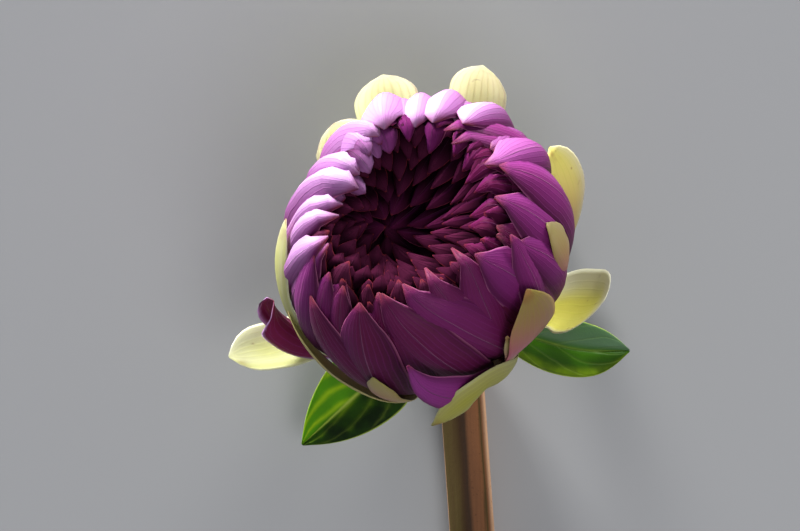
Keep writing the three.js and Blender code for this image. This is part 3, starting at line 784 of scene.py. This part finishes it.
def inner_bract_finish(colours):
    """Inner bract: cream with a yellow heart, or olive, or tan with a blush; fine lines and dry spots."""
    material, net = new_material("Pale inner bract")
    place = net.place()
    u, v, olive, tan, sunward = (net.attribute(carried) for carried in CARRIED)
    # Above 0 on the side of a bract toward the sun, for painted light; below 0 away from it, for painted
    # shade
    edge, sunlit_side = v.apply("ABSOLUTE"), v * sunward
    yellow, green = (-olive).clamp(), olive.clamp()
    cloud = net.noise(place, 70.0, 3.0)
    line = veins(net, v, u, 9.0, place)
    heart = ((1.0 - edge.band(0.15, 0.85)) * (1.0 - u.band(0.7, 1.0) * 0.6) * (0.2 + 1.1 * cloud)).clamp()
    shaded = yellow * (1.0 - edge.band(0.1, 0.8)) * (1.0 - u.band(0.6, 0.95)) * 0.15
    blush = (tan * (1.0 - u.band(0.6, 1.0)) * (0.9 - v * 0.6)).clamp()
    dry = u.band(0.9, 1.0) * net.noise(place, 260.0).band(0.42, 0.62)
    spot = net.noise(place, 420.0, 1.0).band(0.7, 0.76) * u.band(0.6, 0.9)
    # Painted sunlight on the yellow bracts: their end, margins and side toward the sun, in the margin's
    # colour
    end = u.band(0.84, 0.98) + edge.band(0.84, 1.0) * u.band(0.4, 0.8)
    end = end + sunlit_side.band(0.0, 0.6) * u.band(0.2, 0.5)
    end = yellow * (1.0 - 2.6 * tan).clamp() * end.clamp()
    margin = edge.band(0.8, 1.0) * 0.7 * (1.0 - green) * (1.0 - 1.8 * tan).clamp()
    body = net.paint(
        colours.bract,
        # The yellow heart, with painted shade in it on the side away from the sun
        (heart.apply("MAXIMUM", (-sunlit_side).band(0.1, 0.9) * 0.7), colours.bract_heart),
        # Painted sunlight: the yellow bracts stay cream on their side toward the sun
        (yellow * (1.0 - 0.9 * sunlit_side.band(0.0, 0.8)), colours.bract_yellow),
        (shaded, colours.bract_olive),
        (green, colours.bract_olive),
        (tan * u.band(0.3, 0.7), colours.bract_tan),
        (tan * (cloud.band(0.35, 0.65) * 0.5 + line * 0.3), colours.bract_olive),
        (blush, colours.bract_blush),
        (line * 0.25 * (1.0 - tan), colours.bract_heart),
        ((dry + spot).clamp() * 0.8, colours.bract_dry),
        (margin.apply("MAXIMUM", end * 0.8), colours.bract_margin),
    )
    relief = line * 0.15 + cloud * 0.6 + net.noise(place, 900.0) * 0.15
    share = 0.55 * (1.0 - 0.9 * green.apply("MAXIMUM", tan) - 0.45 * yellow)
    share = share * (1.1 - 0.3 * line - 0.3 * heart) * (1.0 - 0.5 * tan)
    finish_blade(net, body, colours.bract_glow, share, 0.36 + 0.15 * cloud, relief, depth=0.1 * MM,
                 specular=0.3)
    return material


def outer_bract_finish(colours):
    """Leafy bract: painted sunlight on one half and painted shade on the other, a painted grey-green
    reflection, a pale midrib and sweeping side veins.
    """
    material, net = new_material("Green outer bract")
    place = net.place()
    u, v, tone, dull = (net.attribute(carried) for carried in CARRIED[:4])
    edge = v.apply("ABSOLUTE")
    cloud = net.noise(place, 110.0, 4.0)
    # Painted sunlight on one half, by the sign of tone, with random lighter patches; the other half keeps
    # leaf_dark as painted shade
    sunlit_half = ((v * tone).band(-0.2, 0.25) * 0.8 + cloud.band(0.4, 0.75) * 0.25).clamp()
    sweep = ((u * 4.0 - edge * 2.0 + (cloud - 0.5) * 0.7) * (2 * math.pi)).apply("COSINE") * 0.5 + 0.5
    branch = sweep ** 18.0
    rib = 1.0 - edge.band(0.0, 0.08)
    # Painted light: a lighter patch on the lower half, near the base, of a bract with the painted reflection
    lower = dull * v.band(0.5, 0.9) * u.band(0.15, 0.4) * cloud.band(0.2, 0.7) * 0.55
    body = net.paint(
        colours.leaf_dark,
        (sunlit_half, colours.leaf),
        # Painted light: yellow-green glowing between the veins of the sunlit half
        (sunlit_half * tone.clamp() * (sweep ** 3.0) * 0.8, colours.leaf_light),
        # Painted grey-green reflection on one half
        (dull * (1.0 - v.band(-0.3, 0.1)) * (0.5 + 0.5 * u), colours.leaf_painted_reflection),
        (lower, colours.leaf_light),
        ((branch * 0.06 + rib * (0.25 + 0.65 * tone.clamp())).clamp(), colours.leaf_vein),
        (edge.band(0.95, 1.0), colours.leaf_vein),
    )
    relief = cloud * 0.5 - branch * 0.2 - rib * 0.8 + net.noise(place, 1500.0) * 0.2
    finish_blade(net, body, colours.leaf_glow, 0.2, 0.36 + 0.12 * cloud, relief, depth=0.25 * MM,
                 specular=0.12)
    return material


def stem_finish(colours):
    """Stem: brown, olive and pinkish streaks down it, darker on its left as painted shade and lighter on its
    right as painted light; green at the top, with pith in the cut face.
    """
    material, net = new_material("Ridged stem")
    place = net.place()
    turn, down, end, axis = (net.attribute(carried) for carried in ("turn", "length", "end", "from_axis"))
    streak_place = net.wire("ShaderNodeMapping", {}, {"Vector": place, "Scale": (520.0, 24.0, 520.0)})
    streak = net.noise(streak_place, 1.0, 4.0)
    # Round the stem: painted shade on its left side and painted light, pinker, on its right, broken by the
    # streaks
    skin = net.ramp(
        (turn + (streak - 0.5) * 0.1).apply("FRACT"),
        (0.0, colours.stem_green), (0.1, colours.stem_green), (0.17, colours.stem_dark),
        (0.2, colours.stem_dark), (0.24, colours.stem), (0.31, colours.stem), (0.335, colours.stem_green),
        (0.365, colours.stem), (0.42, colours.stem_light), (0.6, colours.stem_light),
        (0.9, colours.stem_green),
    )
    face = net.ramp(
        axis, (0.0, colours.pith), (0.7, colours.pith_green), (0.9, colours.stem_green), (1.0, colours.stem),
    )
    body = net.paint(
        skin,
        (streak.band(0.4, 0.7) * 0.4, colours.stem_dark),
        (net.noise(place, 1600.0, 1.0).band(0.66, 0.74) * 0.35, colours.stem_dark),
        ((1.0 - down / 14.0).clamp(), colours.leaf),
        (end, face),
    )
    sockets = {
        "Base Color": body, "Roughness": 0.45 + 0.25 * streak, "Specular IOR Level": 0.15,
        "Normal": net.bump(streak * 0.7 + net.noise(place, 1200.0) * 0.3, 0.2 * MM),
    }
    surface = net.wire("ShaderNodeBsdfPrincipled", {}, sockets)
    net.node("ShaderNodeOutputMaterial", {}, {"Surface": surface})
    return material


def colour(name, text, value):
    return FloatVectorProperty(name=name, description=text, default=value, size=3, min=0, max=1,
                               subtype="COLOR")


def millimetres(name, text, default, low, high):
    """A length, held in metres, whose numbers are given in millimetres."""
    return FloatProperty(name=name, description=text, default=default * MM, min=low * MM, max=high * MM,
                         unit="LENGTH")


def watts(name, text, default):
    return FloatProperty(name=name, description=text, default=default, min=0, unit="POWER")


def whole(name, text, default, low, high):
    return IntProperty(name=name, description=text, default=default, min=low, max=high)


class DahliaColours(bpy.types.PropertyGroup):
    petal: colour("Petal", "Purple of the petals", (0.13, 0.0076, 0.054))
    # Partly painted light: laid on a petal's side toward the sun and on the toned petals; also the veins and
    # random patches
    petal_light: colour("Petal, light", "Violet of the lighter parts", (0.28, 0.028, 0.22))
    # Painted shade on a petal's side away from the sun and toward its margins
    petal_painted_shade: colour("Petal, dark", "Darker purple toward the margins", (0.06, 0.003, 0.03))
    # Painted sunlight: the lilac laid on the sunny side's petals
    petal_lilac: colour("Petal, lilac", "Bleached petals of the sunny side", (0.68, 0.38, 0.74))
    # The midrib on the petals painted lilac as sunlit
    petal_pale: colour("Petal, pale", "Midrib of the bleached petals", (0.88, 0.72, 0.88))
    petal_vein: colour("Petal vein", "Midrib of the purple petals", (0.5, 0.2, 0.36))
    petal_edge: colour("Petal edge", "Thin light edge", (0.4, 0.11, 0.24))
    red_edge: colour("Red edge", "Tips, and edges in the middle", (0.22, 0.028, 0.03))
    petal_crimson: colour("Petal, crimson", "The curled petal", (0.16, 0.008, 0.05))
    petal_base: colour("Petal base", "Pale base of a petal", (0.35, 0.22, 0.1))
    petal_glow: colour("Petal glow", "Light through a petal", (0.3, 0.03, 0.16))
    pit: colour("Closed middle", "Dark maroon of the inner florets", (0.062, 0.0088, 0.028))
    # Painted shade in the crevices between the florets and at the sunk bases of shaded blades
    deep: colour("Deep", "Depth between the florets", (0.009, 0.0014, 0.0045))
    bract: colour("Inner bract", "Pale yellow", (0.85, 0.84, 0.62))
    # Also painted shade on the side of an inner bract away from the sun
    bract_heart: colour("Inner bract, heart", "Yellow of the middle", (0.66, 0.68, 0.16))
    bract_yellow: colour("Inner bract, yellow", "Yellow of the bracts on the right", (0.92, 0.86, 0.12))
    bract_olive: colour("Inner bract, olive", "Yellow-green of the shaded bracts", (0.29, 0.26, 0.004))
    bract_tan: colour("Inner bract, tan", "Tan of the bracts that lie on the petals", (0.25, 0.14, 0.028))
    bract_blush: colour("Inner bract, blush", "Pink near the base of a tan bract", (0.4, 0.095, 0.13))
    bract_dry: colour("Dry spot", "Brown spots at the tips", (0.25, 0.1, 0.03))
    # Also the painted sunlight on the ends, margins and sunlit side of the yellow bracts
    bract_margin: colour("Inner bract margin", "Light margin", (0.92, 0.9, 0.76))
    bract_glow: colour("Inner bract glow", "Light through a bract", (0.88, 0.88, 0.66))
    leaf: colour("Leaf", "Green of the outer bracts", (0.1, 0.34, 0.004))
    # Painted shade: the half of a leafy bract away from the sun stays this dark, with random lighter patches
    leaf_dark: colour("Leaf, dark", "Darker patches", (0.006, 0.014, 0.003))
    # Painted light: yellow-green between the veins of the sunlit half, and a patch on the lower half of a
    # bract with the painted reflection
    leaf_light: colour("Leaf, light", "Yellow-green between the veins", (0.42, 0.66, 0.006))
    # Painted grey-green reflection on one half of a leafy bract
    leaf_painted_reflection: colour("Leaf, dull", "Grey-green bloom on one half", (0.12, 0.19, 0.13))
    leaf_vein: colour("Leaf vein", "Midrib and side veins", (0.46, 0.6, 0.08))
    leaf_glow: colour("Leaf glow", "Light through a leaf", (0.2, 0.4, 0.01))
    # The stem's colours; round the stem they lie darker on its left as painted shade and lighter and pinker
    # on its right as painted light
    stem: colour("Stem", "Brown of the stem", (0.18, 0.072, 0.028))
    stem_light: colour("Stem, light", "Pinkish streaks", (0.56, 0.32, 0.18))
    stem_dark: colour("Stem, dark", "Dark streaks", (0.035, 0.016, 0.006))
    stem_green: colour("Stem, green", "Olive streaks", (0.05, 0.034, 0.009))
    pith: colour("Pith", "Middle of the cut face", (0.5, 0.55, 0.3))
    pith_green: colour("Pith, green", "Ring round the pith", (0.42, 0.5, 0.2))
    floor: colour("Floor", "Plain floor", (0.325, 0.325, 0.325))
    sky: colour("Sky", "Even light from all round", (0.8, 0.85, 1.0))


class DahliaSizes(bpy.types.PropertyGroup):
    petal_thickness: millimetres("Petal thickness", "Thickness of a petal", 0.4, 0.2, 1.5)
    rim_petal_thickness: millimetres("Rim petal thickness", "Thickness of a petal at the rim", 0.35, 0.2, 1)
    floret_thickness: millimetres("Floret thickness", "Thickness of a floret", 0.4, 0.2, 1)
    bract_thickness: millimetres("Bract thickness", "Thickness of an inner bract", 0.5, 0.2, 1.5)
    leaf_thickness: millimetres("Leaf thickness", "Thickness of an outer bract", 0.6, 0.2, 1.5)
    rim_petal_width: millimetres("Rim petal width", "Width of a narrow petal at the rim", 5, 2, 9)
    floret_length: millimetres("Floret length", "Length of a floret of the closed middle", 10.5, 5, 14)
    floret_width: millimetres("Floret width", "Width of a floret at the rim", 4.4, 2, 8)
    floret_spacing: millimetres("Floret spacing", "Distance between florets along the section", 4.6, 2, 8)
    rim_petals: whole("Rim petals", "Narrow petals in each of two rows", 23, 8, 60)
    petal_rows: whole("Petal rows", "Guide points down a petal", 26, 6, 60)
    petal_columns: whole("Petal columns", "Points across a petal", 13, 3, 31)


class DahliaStage(bpy.types.PropertyGroup):
    key_power: watts("Key light", "Power of the low key light", 290)
    rim_power: watts("Rim light", "Power of the light on the right side", 60)
    fill_power: watts("Fill light", "Power of the soft fill", 3.2)
    sky: FloatProperty(name="Sky", description="Strength of the even light", default=0.36, min=0, max=5)
    camera_distance: millimetres("Camera distance", "From the bud's centre", 800, 200, 5000)
    frame_width: millimetres("Width in view", "Width that the photograph shows at the bud", 160, 20, 1000)


class DAHLIA_OT_outer_petals(bpy.types.Operator):
    """Build the purple petals that wrap the bud, with the loose and the curled one"""
    bl_idname = "dahlia.outer_petals"
    bl_label = "Outer petals"

    def execute(self, context):
        sizes, colours = context.scene.dahlia_sizes, context.scene.dahlia_colours
        blades = Blades(sizes.petal_rows)
        for i, (azimuth, lean, tip, half, level) in enumerate(OUTER_PETALS):
            sun = sunny(azimuth)
            tone = sun + 0.14 * toward(RIGHT, azimuth) + 0.22 * toward(LOWER_LEFT, azimuth, 4, -3)
            path = petal_path(azimuth, lean, tip, PETAL_LIFT * (level - FLAT_LEVEL), 0.05 * (1 - sun))
            blades.add(path, PETAL_WIDTH * half, root=0.45, widest=0.72, power=2.3 + 2.2 * sun,
                       cup=0.4 + 0.2 * sun, roll=0.05 * vary(i, 4), tone=tone,
                       shade=0.2 * toward(FRONT, azimuth))
        for k in range(UNDER_PETALS):
            azimuth = math.degrees(k * GOLDEN_ANGLE + 0.5)
            tip = BUD.crest - 2.5 + vary(k, 2)
            path = petal_path(azimuth, -9 + 9 * vary(k, 3), tip, 0.4 * ((k * 0.618) % 1) - 0.3)
            blades.add(path, 5.2, root=0.45, widest=0.72, power=2.3, cup=0.3, roll=0.06,
                       tone=0.8 * sunny(azimuth), shade=0.2)
        blades.add(station_path(LOOSE_PETAL), 3.8, root=0.4, widest=0.62, power=2, cup=0.35, roll=-0.5,
                   tone=0.2)
        blades.add(station_path(CURLED_PETAL), 8.4, root=0.4, widest=0.7, power=4, cup=-2.4, tone=-1)
        finish = petal_finish(colours, "Purple petal", lines=11.0, specular=0.16)
        piece = blades.grow("outer_petals", finish, sizes.petal_columns, sizes.petal_thickness,
                            keel=0.15, fold=0.4, margin_wave=0.25, groove=0.12)
        hand_in(piece, "petals", "bloom")
        return {"FINISHED"}


class DAHLIA_OT_rim_petals(bpy.types.Operator):
    """Build two rows of narrow petals between the outer ones and the closed middle"""
    bl_idname = "dahlia.rim_petals"
    bl_label = "Rim petals"

    def execute(self, context):
        sizes, colours = context.scene.dahlia_sizes, context.scene.dahlia_colours
        width = sizes.rim_petal_width / MM
        blades = Blades(rows=16)
        for row, reach in enumerate(RIM_ROWS):
            for k in range(sizes.rim_petals):
                i = k + 100 * row
                azimuth = (k + 0.5 * row + 0.25 * vary(i, 2)) * 360 / sizes.rim_petals
                low = toward(FRONT_OF_RIM, azimuth, 1.6)
                right = toward(RIGHT_OF_RIM, azimuth, 2.0, -0.6)
                left = toward(LEFT_OF_RIM, azimuth, 2.2, -1.1)
                tip = BUD.crest + reach + 1.1 * vary(i, 1) - 4 * low + 1.6 * left
                level = 0.9 - 0.4 * row + 0.3 * vary(i, 4) + 0.3 * left - 0.7 * right
                path = rim_path(azimuth, -6 + 5 * vary(i, 3), tip, level)
                blades.add(path, width * (0.5 + 0.08 * vary(i, 5)), root=0.6, widest=0.7,
                           power=2.2 + 2.6 * left, cup=0.3, roll=0.12 * vary(i, 6),
                           tone=0.15 * sunny(azimuth) + 0.45 * left, shade=0.35 + 0.65 * low)
        finish = petal_finish(colours, "Rim petal", lines=5.0, specular=0.02)
        piece = blades.grow("rim_petals", finish, 9, sizes.rim_petal_thickness, keel=0.3, fold=0.5,
                            margin_wave=0.08, tip_half_width=0.2)
        hand_in(piece, "petals", "bloom")
        return {"FINISHED"}


class DAHLIA_OT_florets(bpy.types.Operator):
    """Build the closed middle: spears in a golden-angle spiral, and the mass that they grow out of"""
    bl_idname = "dahlia.florets"
    bl_label = "Closed middle"

    def execute(self, context):
        sizes, colours = context.scene.dahlia_sizes, context.scene.dahlia_colours
        arcs = np.linspace(BUD.crest - 9, BUD.length - 0.1, 4001)
        closed = smooth(1.2 * BUD.depth(arcs))
        width = sizes.floret_width / MM - 0.6 * closed
        spacing = sizes.floret_spacing / MM - 0.5 * closed
        radius = BUD.at(arcs)[0]
        filled = np.cumsum(2 * math.pi * (radius + 3.2) * (arcs[1] - arcs[0]) / (width * spacing))
        blades = Blades(rows=9)
        for k in range(int(filled[-1])):
            arc, wide, r = (float(np.interp(k + 0.5, filled, values)) for values in (arcs, width, radius))
            i = FIRST_FLORET + k
            angle = i * GOLDEN_ANGLE
            depth = BUD.depth(arc)
            middle = smooth(depth * 2 - 0.9)
            inside = smooth((arc - BUD.crest + 5) / 6)
            lift = 2.6 + 1.5 * inside + 1.7 * smooth(depth * 2.2 - 0.1) + 0.8 * inside * vary(i, 6)
            tip = arc + 0.6 * vary(i, 1) + 2.4 * smooth((depth - 0.7) / 0.3)
            shade = 0.55 + 0.3 * smooth(depth * 2 + 0.4) + 0.6 * max(0, math.cos(angle - 4.6))
            shade = shade + 0.2 * max(0, math.cos(angle - 1.9)) - 0.25 * middle
            path = floret_path(i, tip, max(r, 1), sizes.floret_length / MM, lift)
            tone = 0.45 * sunny(math.degrees(angle)) * (depth < 0.14)
            blades.add(path, (0.56 + 0.16 * middle) * wide, root=0.75, widest=0.5, power=1.8, cup=0.12,
                       roll=0.2 * vary(i, 4), tone=tone, shade=shade)
        finish = petal_finish(colours, "Dark floret", lines=2.0, specular=0.0)
        piece = blades.grow("florets", finish, 7, sizes.floret_thickness, keel=0.55, tip_half_width=0.12)
        hand_in(piece, "petals", "bloom")
        hand_in(self.core(colours), "petals", "bloom")
        return {"FINISHED"}

    @staticmethod
    def core(colours):
        """The inner mass: the bud's surface a little under the petals, coloured as painted shade."""
        sides = CORE_SIDES
        arcs = np.linspace(1.0, BUD.length, 60)
        inset = CORE_INSET - 1.5 * smooth(BUD.depth(arcs))
        lines = [BUD.surface(arcs, 2 * math.pi * j / sides, -inset)[0] for j in range(sides)]
        rings = np.stack(lines, 1).reshape(-1, 3)
        ends = [(0, 0, float(rings[0, 2])), (*PIT_SHIFT, float(rings[-1, 2]))]
        faces = []
        last = (len(arcs) - 1) * sides
        foot = last + sides
        for j in range(sides):
            k = (j + 1) % sides
            faces.append((foot, k, j))
            faces.append((foot + 1, last + j, last + k))
            faces.extend((i + j, i + k, i + sides + k, i + sides + j) for i in range(0, last, sides))
        mesh = bpy.data.meshes.new("bud_core")
        mesh.from_pydata([tuple(p) for p in rings] + ends, [], faces)
        mesh.shade_smooth()
        # Painted shade: the core takes mostly the colour of the shade between the florets
        dark = [0.3 * a + 0.7 * b for a, b in zip(colours.pit, colours.deep)]
        mesh.materials.append(plain_finish("Closed middle", dark, specular=0.1))
        return settle(placed("bud_core", mesh), BUD_MATRIX)


class DAHLIA_OT_inner_bracts(bpy.types.Operator):
    """Build the thin pale bracts behind the petals and the tan ones that lie on them"""
    bl_idname = "dahlia.inner_bracts"
    bl_label = "Inner bracts"

    def execute(self, context):
        sizes, colours = context.scene.dahlia_sizes, context.scene.dahlia_colours
        blades = Blades(rows=30)
        for half, widest, roll, green, tan, stations in INNER_BRACTS:
            blades.add(station_path(stations, BRACT_OFFSET), half, root=0.55 - 0.25 * tan, widest=widest,
                       power=4 - 2 * tan, cup=0.55 - 0.4 * tan, roll=roll, tone=green, shade=tan)
        piece = blades.grow("inner_bracts", inner_bract_finish(colours), 17, sizes.bract_thickness,
                            margin_wave=0.35, tip_half_width=0.3)
        hand_in(piece, "inner_bracts", "cream_bracts")
        return {"FINISHED"}


class DAHLIA_OT_outer_bracts(bpy.types.Operator):
    """Build the four leafy bracts on the neck"""
    bl_idname = "dahlia.outer_bracts"
    bl_label = "Outer bracts"

    def execute(self, context):
        sizes, colours = context.scene.dahlia_sizes, context.scene.dahlia_colours
        finish = outer_bract_finish(colours)
        for i, (half, cup, tone, dull, line) in enumerate(OUTER_BRACTS, 1):
            blades = Blades(rows=34)
            blades.add(leaf_path(line), half, root=0.4, widest=0.55, power=2.5, cup=-cup, tone=tone,
                       shade=dull)
            piece = blades.grow(f"outer_bract_{i}", finish, 21, sizes.leaf_thickness, Matrix.Identity(4),
                                margin_wave=0.3, groove=0.5)
            hand_in(piece, "outer_bracts", f"green_bract_{i}")
        return {"FINISHED"}


class DAHLIA_OT_stem(bpy.types.Operator):
    """Build the stem with its neck and receptacle"""
    bl_idname = "dahlia.stem"
    bl_label = "Stem"

    def execute(self, context):
        centre, along, radius, ribbed, slant, end = (np.array(column) for column in zip(*self.rings()))
        side = np.cross(along, [0.2, 0.4, 1.0])
        side /= np.linalg.norm(side, axis=1, keepdims=True)
        attributes = {
            "guide_side": side, "guide_top": np.cross(side, along), "guide_along": along, "radius": radius,
            "ribbed": ribbed, "slant": slant, "end": end,
            "length": np.concatenate([[0], np.cumsum(np.linalg.norm(np.diff(centre, axis=0), axis=1))]),
        }
        finish = stem_finish(context.scene.dahlia_colours)
        inputs = {"Rows": len(centre), "Sides": 120, "Finish": finish}
        tree = tree_named("Ribbed tube along a guide", tube_tree)
        piece = settle(grown("flower_stem", centre, attributes, tree, inputs))
        hand_in(piece, "stem", "stem")
        return {"FINISHED"}

    @staticmethod
    def rings():
        """Rings down the stem: centre, direction, radius, how ribbed, slant and share of the cut face."""
        def on_axis(height):
            return np.array(BUD_MATRIX @ Vector((0, 0, height)))
        down = np.array((BUD_MATRIX.to_3x3() @ Vector((0, 0, -1))).normalized())
        lie = np.array(Vector(STEM_DIRECTION).normalized())
        start = np.array(STEM_START)
        top, top_radius = RECEPTACLE[0]
        rings = [(on_axis(top), down, share * top_radius, 0.0, 0.0, 0.0) for share in (0, 0.5, 0.9)]
        for height, radius in catmull_rom(RECEPTACLE, np.linspace(0, 1, 16)):
            rings.append((on_axis(height), down, radius, smooth((-5 - height) / 4), 0.0, 0.0))
        bend = on_axis(NECK_TOP)
        points = np.array([bend, bend + down * BEND_REACH, start - lie * BEND_REACH, start])
        steps = np.diff(points, axis=0)
        for t in np.linspace(0, 1, 24):
            s = 1 - t
            place = np.array([s**3, 3 * s * s * t, 3 * s * t * t, t**3]) @ points
            pull = np.array([s * s, 2 * s * t, t * t]) @ steps
            rings.append((place, pull / np.linalg.norm(pull), NECK_RADIUS, 1.0, 0.0, 0.0))
        end = start + lie * (STEM_START[1] - STEM_END_Y) / -lie[1]
        for share in np.linspace(0, 1, 46)[1:]:
            slant = CUT_SLANT if share == 1 else 0.0
            rings.append((start + (end - start) * share, lie, NECK_RADIUS, 1.0, slant, 0.0))
        for share in (0.97, 0.9, 0.75, 0.5, 0.25, 0.0):
            rings.append((end, lie, NECK_RADIUS * share, share, CUT_SLANT, 1.0))
        return rings


class DAHLIA_OT_stage(bpy.types.Operator):
    """Set up the floor, the soft studio light and the camera"""
    bl_idname = "dahlia.stage"
    bl_label = "Stage"

    def execute(self, context):
        scene = context.scene
        stage, colours = scene.dahlia_stage, scene.dahlia_colours
        bpy.ops.mesh.primitive_plane_add(size=6)
        floor = context.object
        floor.name = "floor"
        floor.data.materials.append(plain_finish("Pale floor", colours.floor, specular=0.5))
        bud = (ORIGIN + Vector((0, 0, BUD_HEIGHT))) * MM
        for name, place, size in LIGHTS:
            offset = Vector(place)
            data = bpy.data.lights.new(f"{name}_light", "AREA")
            data.size = size
            data.energy = getattr(stage, f"{name}_power")
            lamp = placed(f"{name}_light", data)
            lamp.location = bud + offset
            lamp.rotation_euler = (-offset).to_track_quat("-Z", "Y").to_euler()
        world = bpy.data.worlds.new("Even light")
        world.use_nodes = True
        background = world.node_tree.nodes["Background"]
        background.inputs["Color"].default_value = (*colours.sky, 1.0)
        background.inputs["Strength"].default_value = stage.sky
        scene.world = world
        scene.view_settings.view_transform = "Standard"
        camera = bpy.data.cameras.new("camera")
        camera.sensor_width = 36
        camera.lens = camera.sensor_width * stage.camera_distance / stage.frame_width
        camera.clip_start = 0.01
        holder = placed("camera", camera)
        holder.location = bud + Vector((*(offset * MM for offset in VIEW_OFFSET), stage.camera_distance))
        scene.camera = holder
        return {"FINISHED"}


STEPS = (
    DAHLIA_OT_outer_petals, DAHLIA_OT_rim_petals, DAHLIA_OT_florets, DAHLIA_OT_inner_bracts,
    DAHLIA_OT_outer_bracts, DAHLIA_OT_stem, DAHLIA_OT_stage,
)

GROUPS = {"dahlia_sizes": DahliaSizes, "dahlia_colours": DahliaColours, "dahlia_stage": DahliaStage}


class DAHLIA_PT_panel(bpy.types.Panel):
    """Sizes, colours and the steps that build the bud"""
    bl_label = "Dahlia bud"
    bl_idname = "DAHLIA_PT_panel"
    bl_space_type = "VIEW_3D"
    bl_region_type = "UI"
    bl_category = "Dahlia"

    def draw(self, context):
        for step in STEPS:
            self.layout.operator(step.bl_idname)
        for name in GROUPS:
            box = self.layout.box()
            group = getattr(context.scene, name)
            for key in group.__annotations__:
                box.prop(group, key)


def register():
    for cls in (*GROUPS.values(), *STEPS, DAHLIA_PT_panel):
        bpy.utils.register_class(cls)
    for name, group in GROUPS.items():
        setattr(bpy.types.Scene, name, PointerProperty(type=group))


def unregister():
    for name in GROUPS:
        delattr(bpy.types.Scene, name)
    for cls in (DAHLIA_PT_panel, *reversed(STEPS), *GROUPS.values()):
        bpy.utils.unregister_class(cls)


def main():
    register()
    for step in STEPS:
        category, name = step.bl_idname.split(".")
        getattr(getattr(bpy.ops, category), name)()


if __name__ == "__main__":
    main()
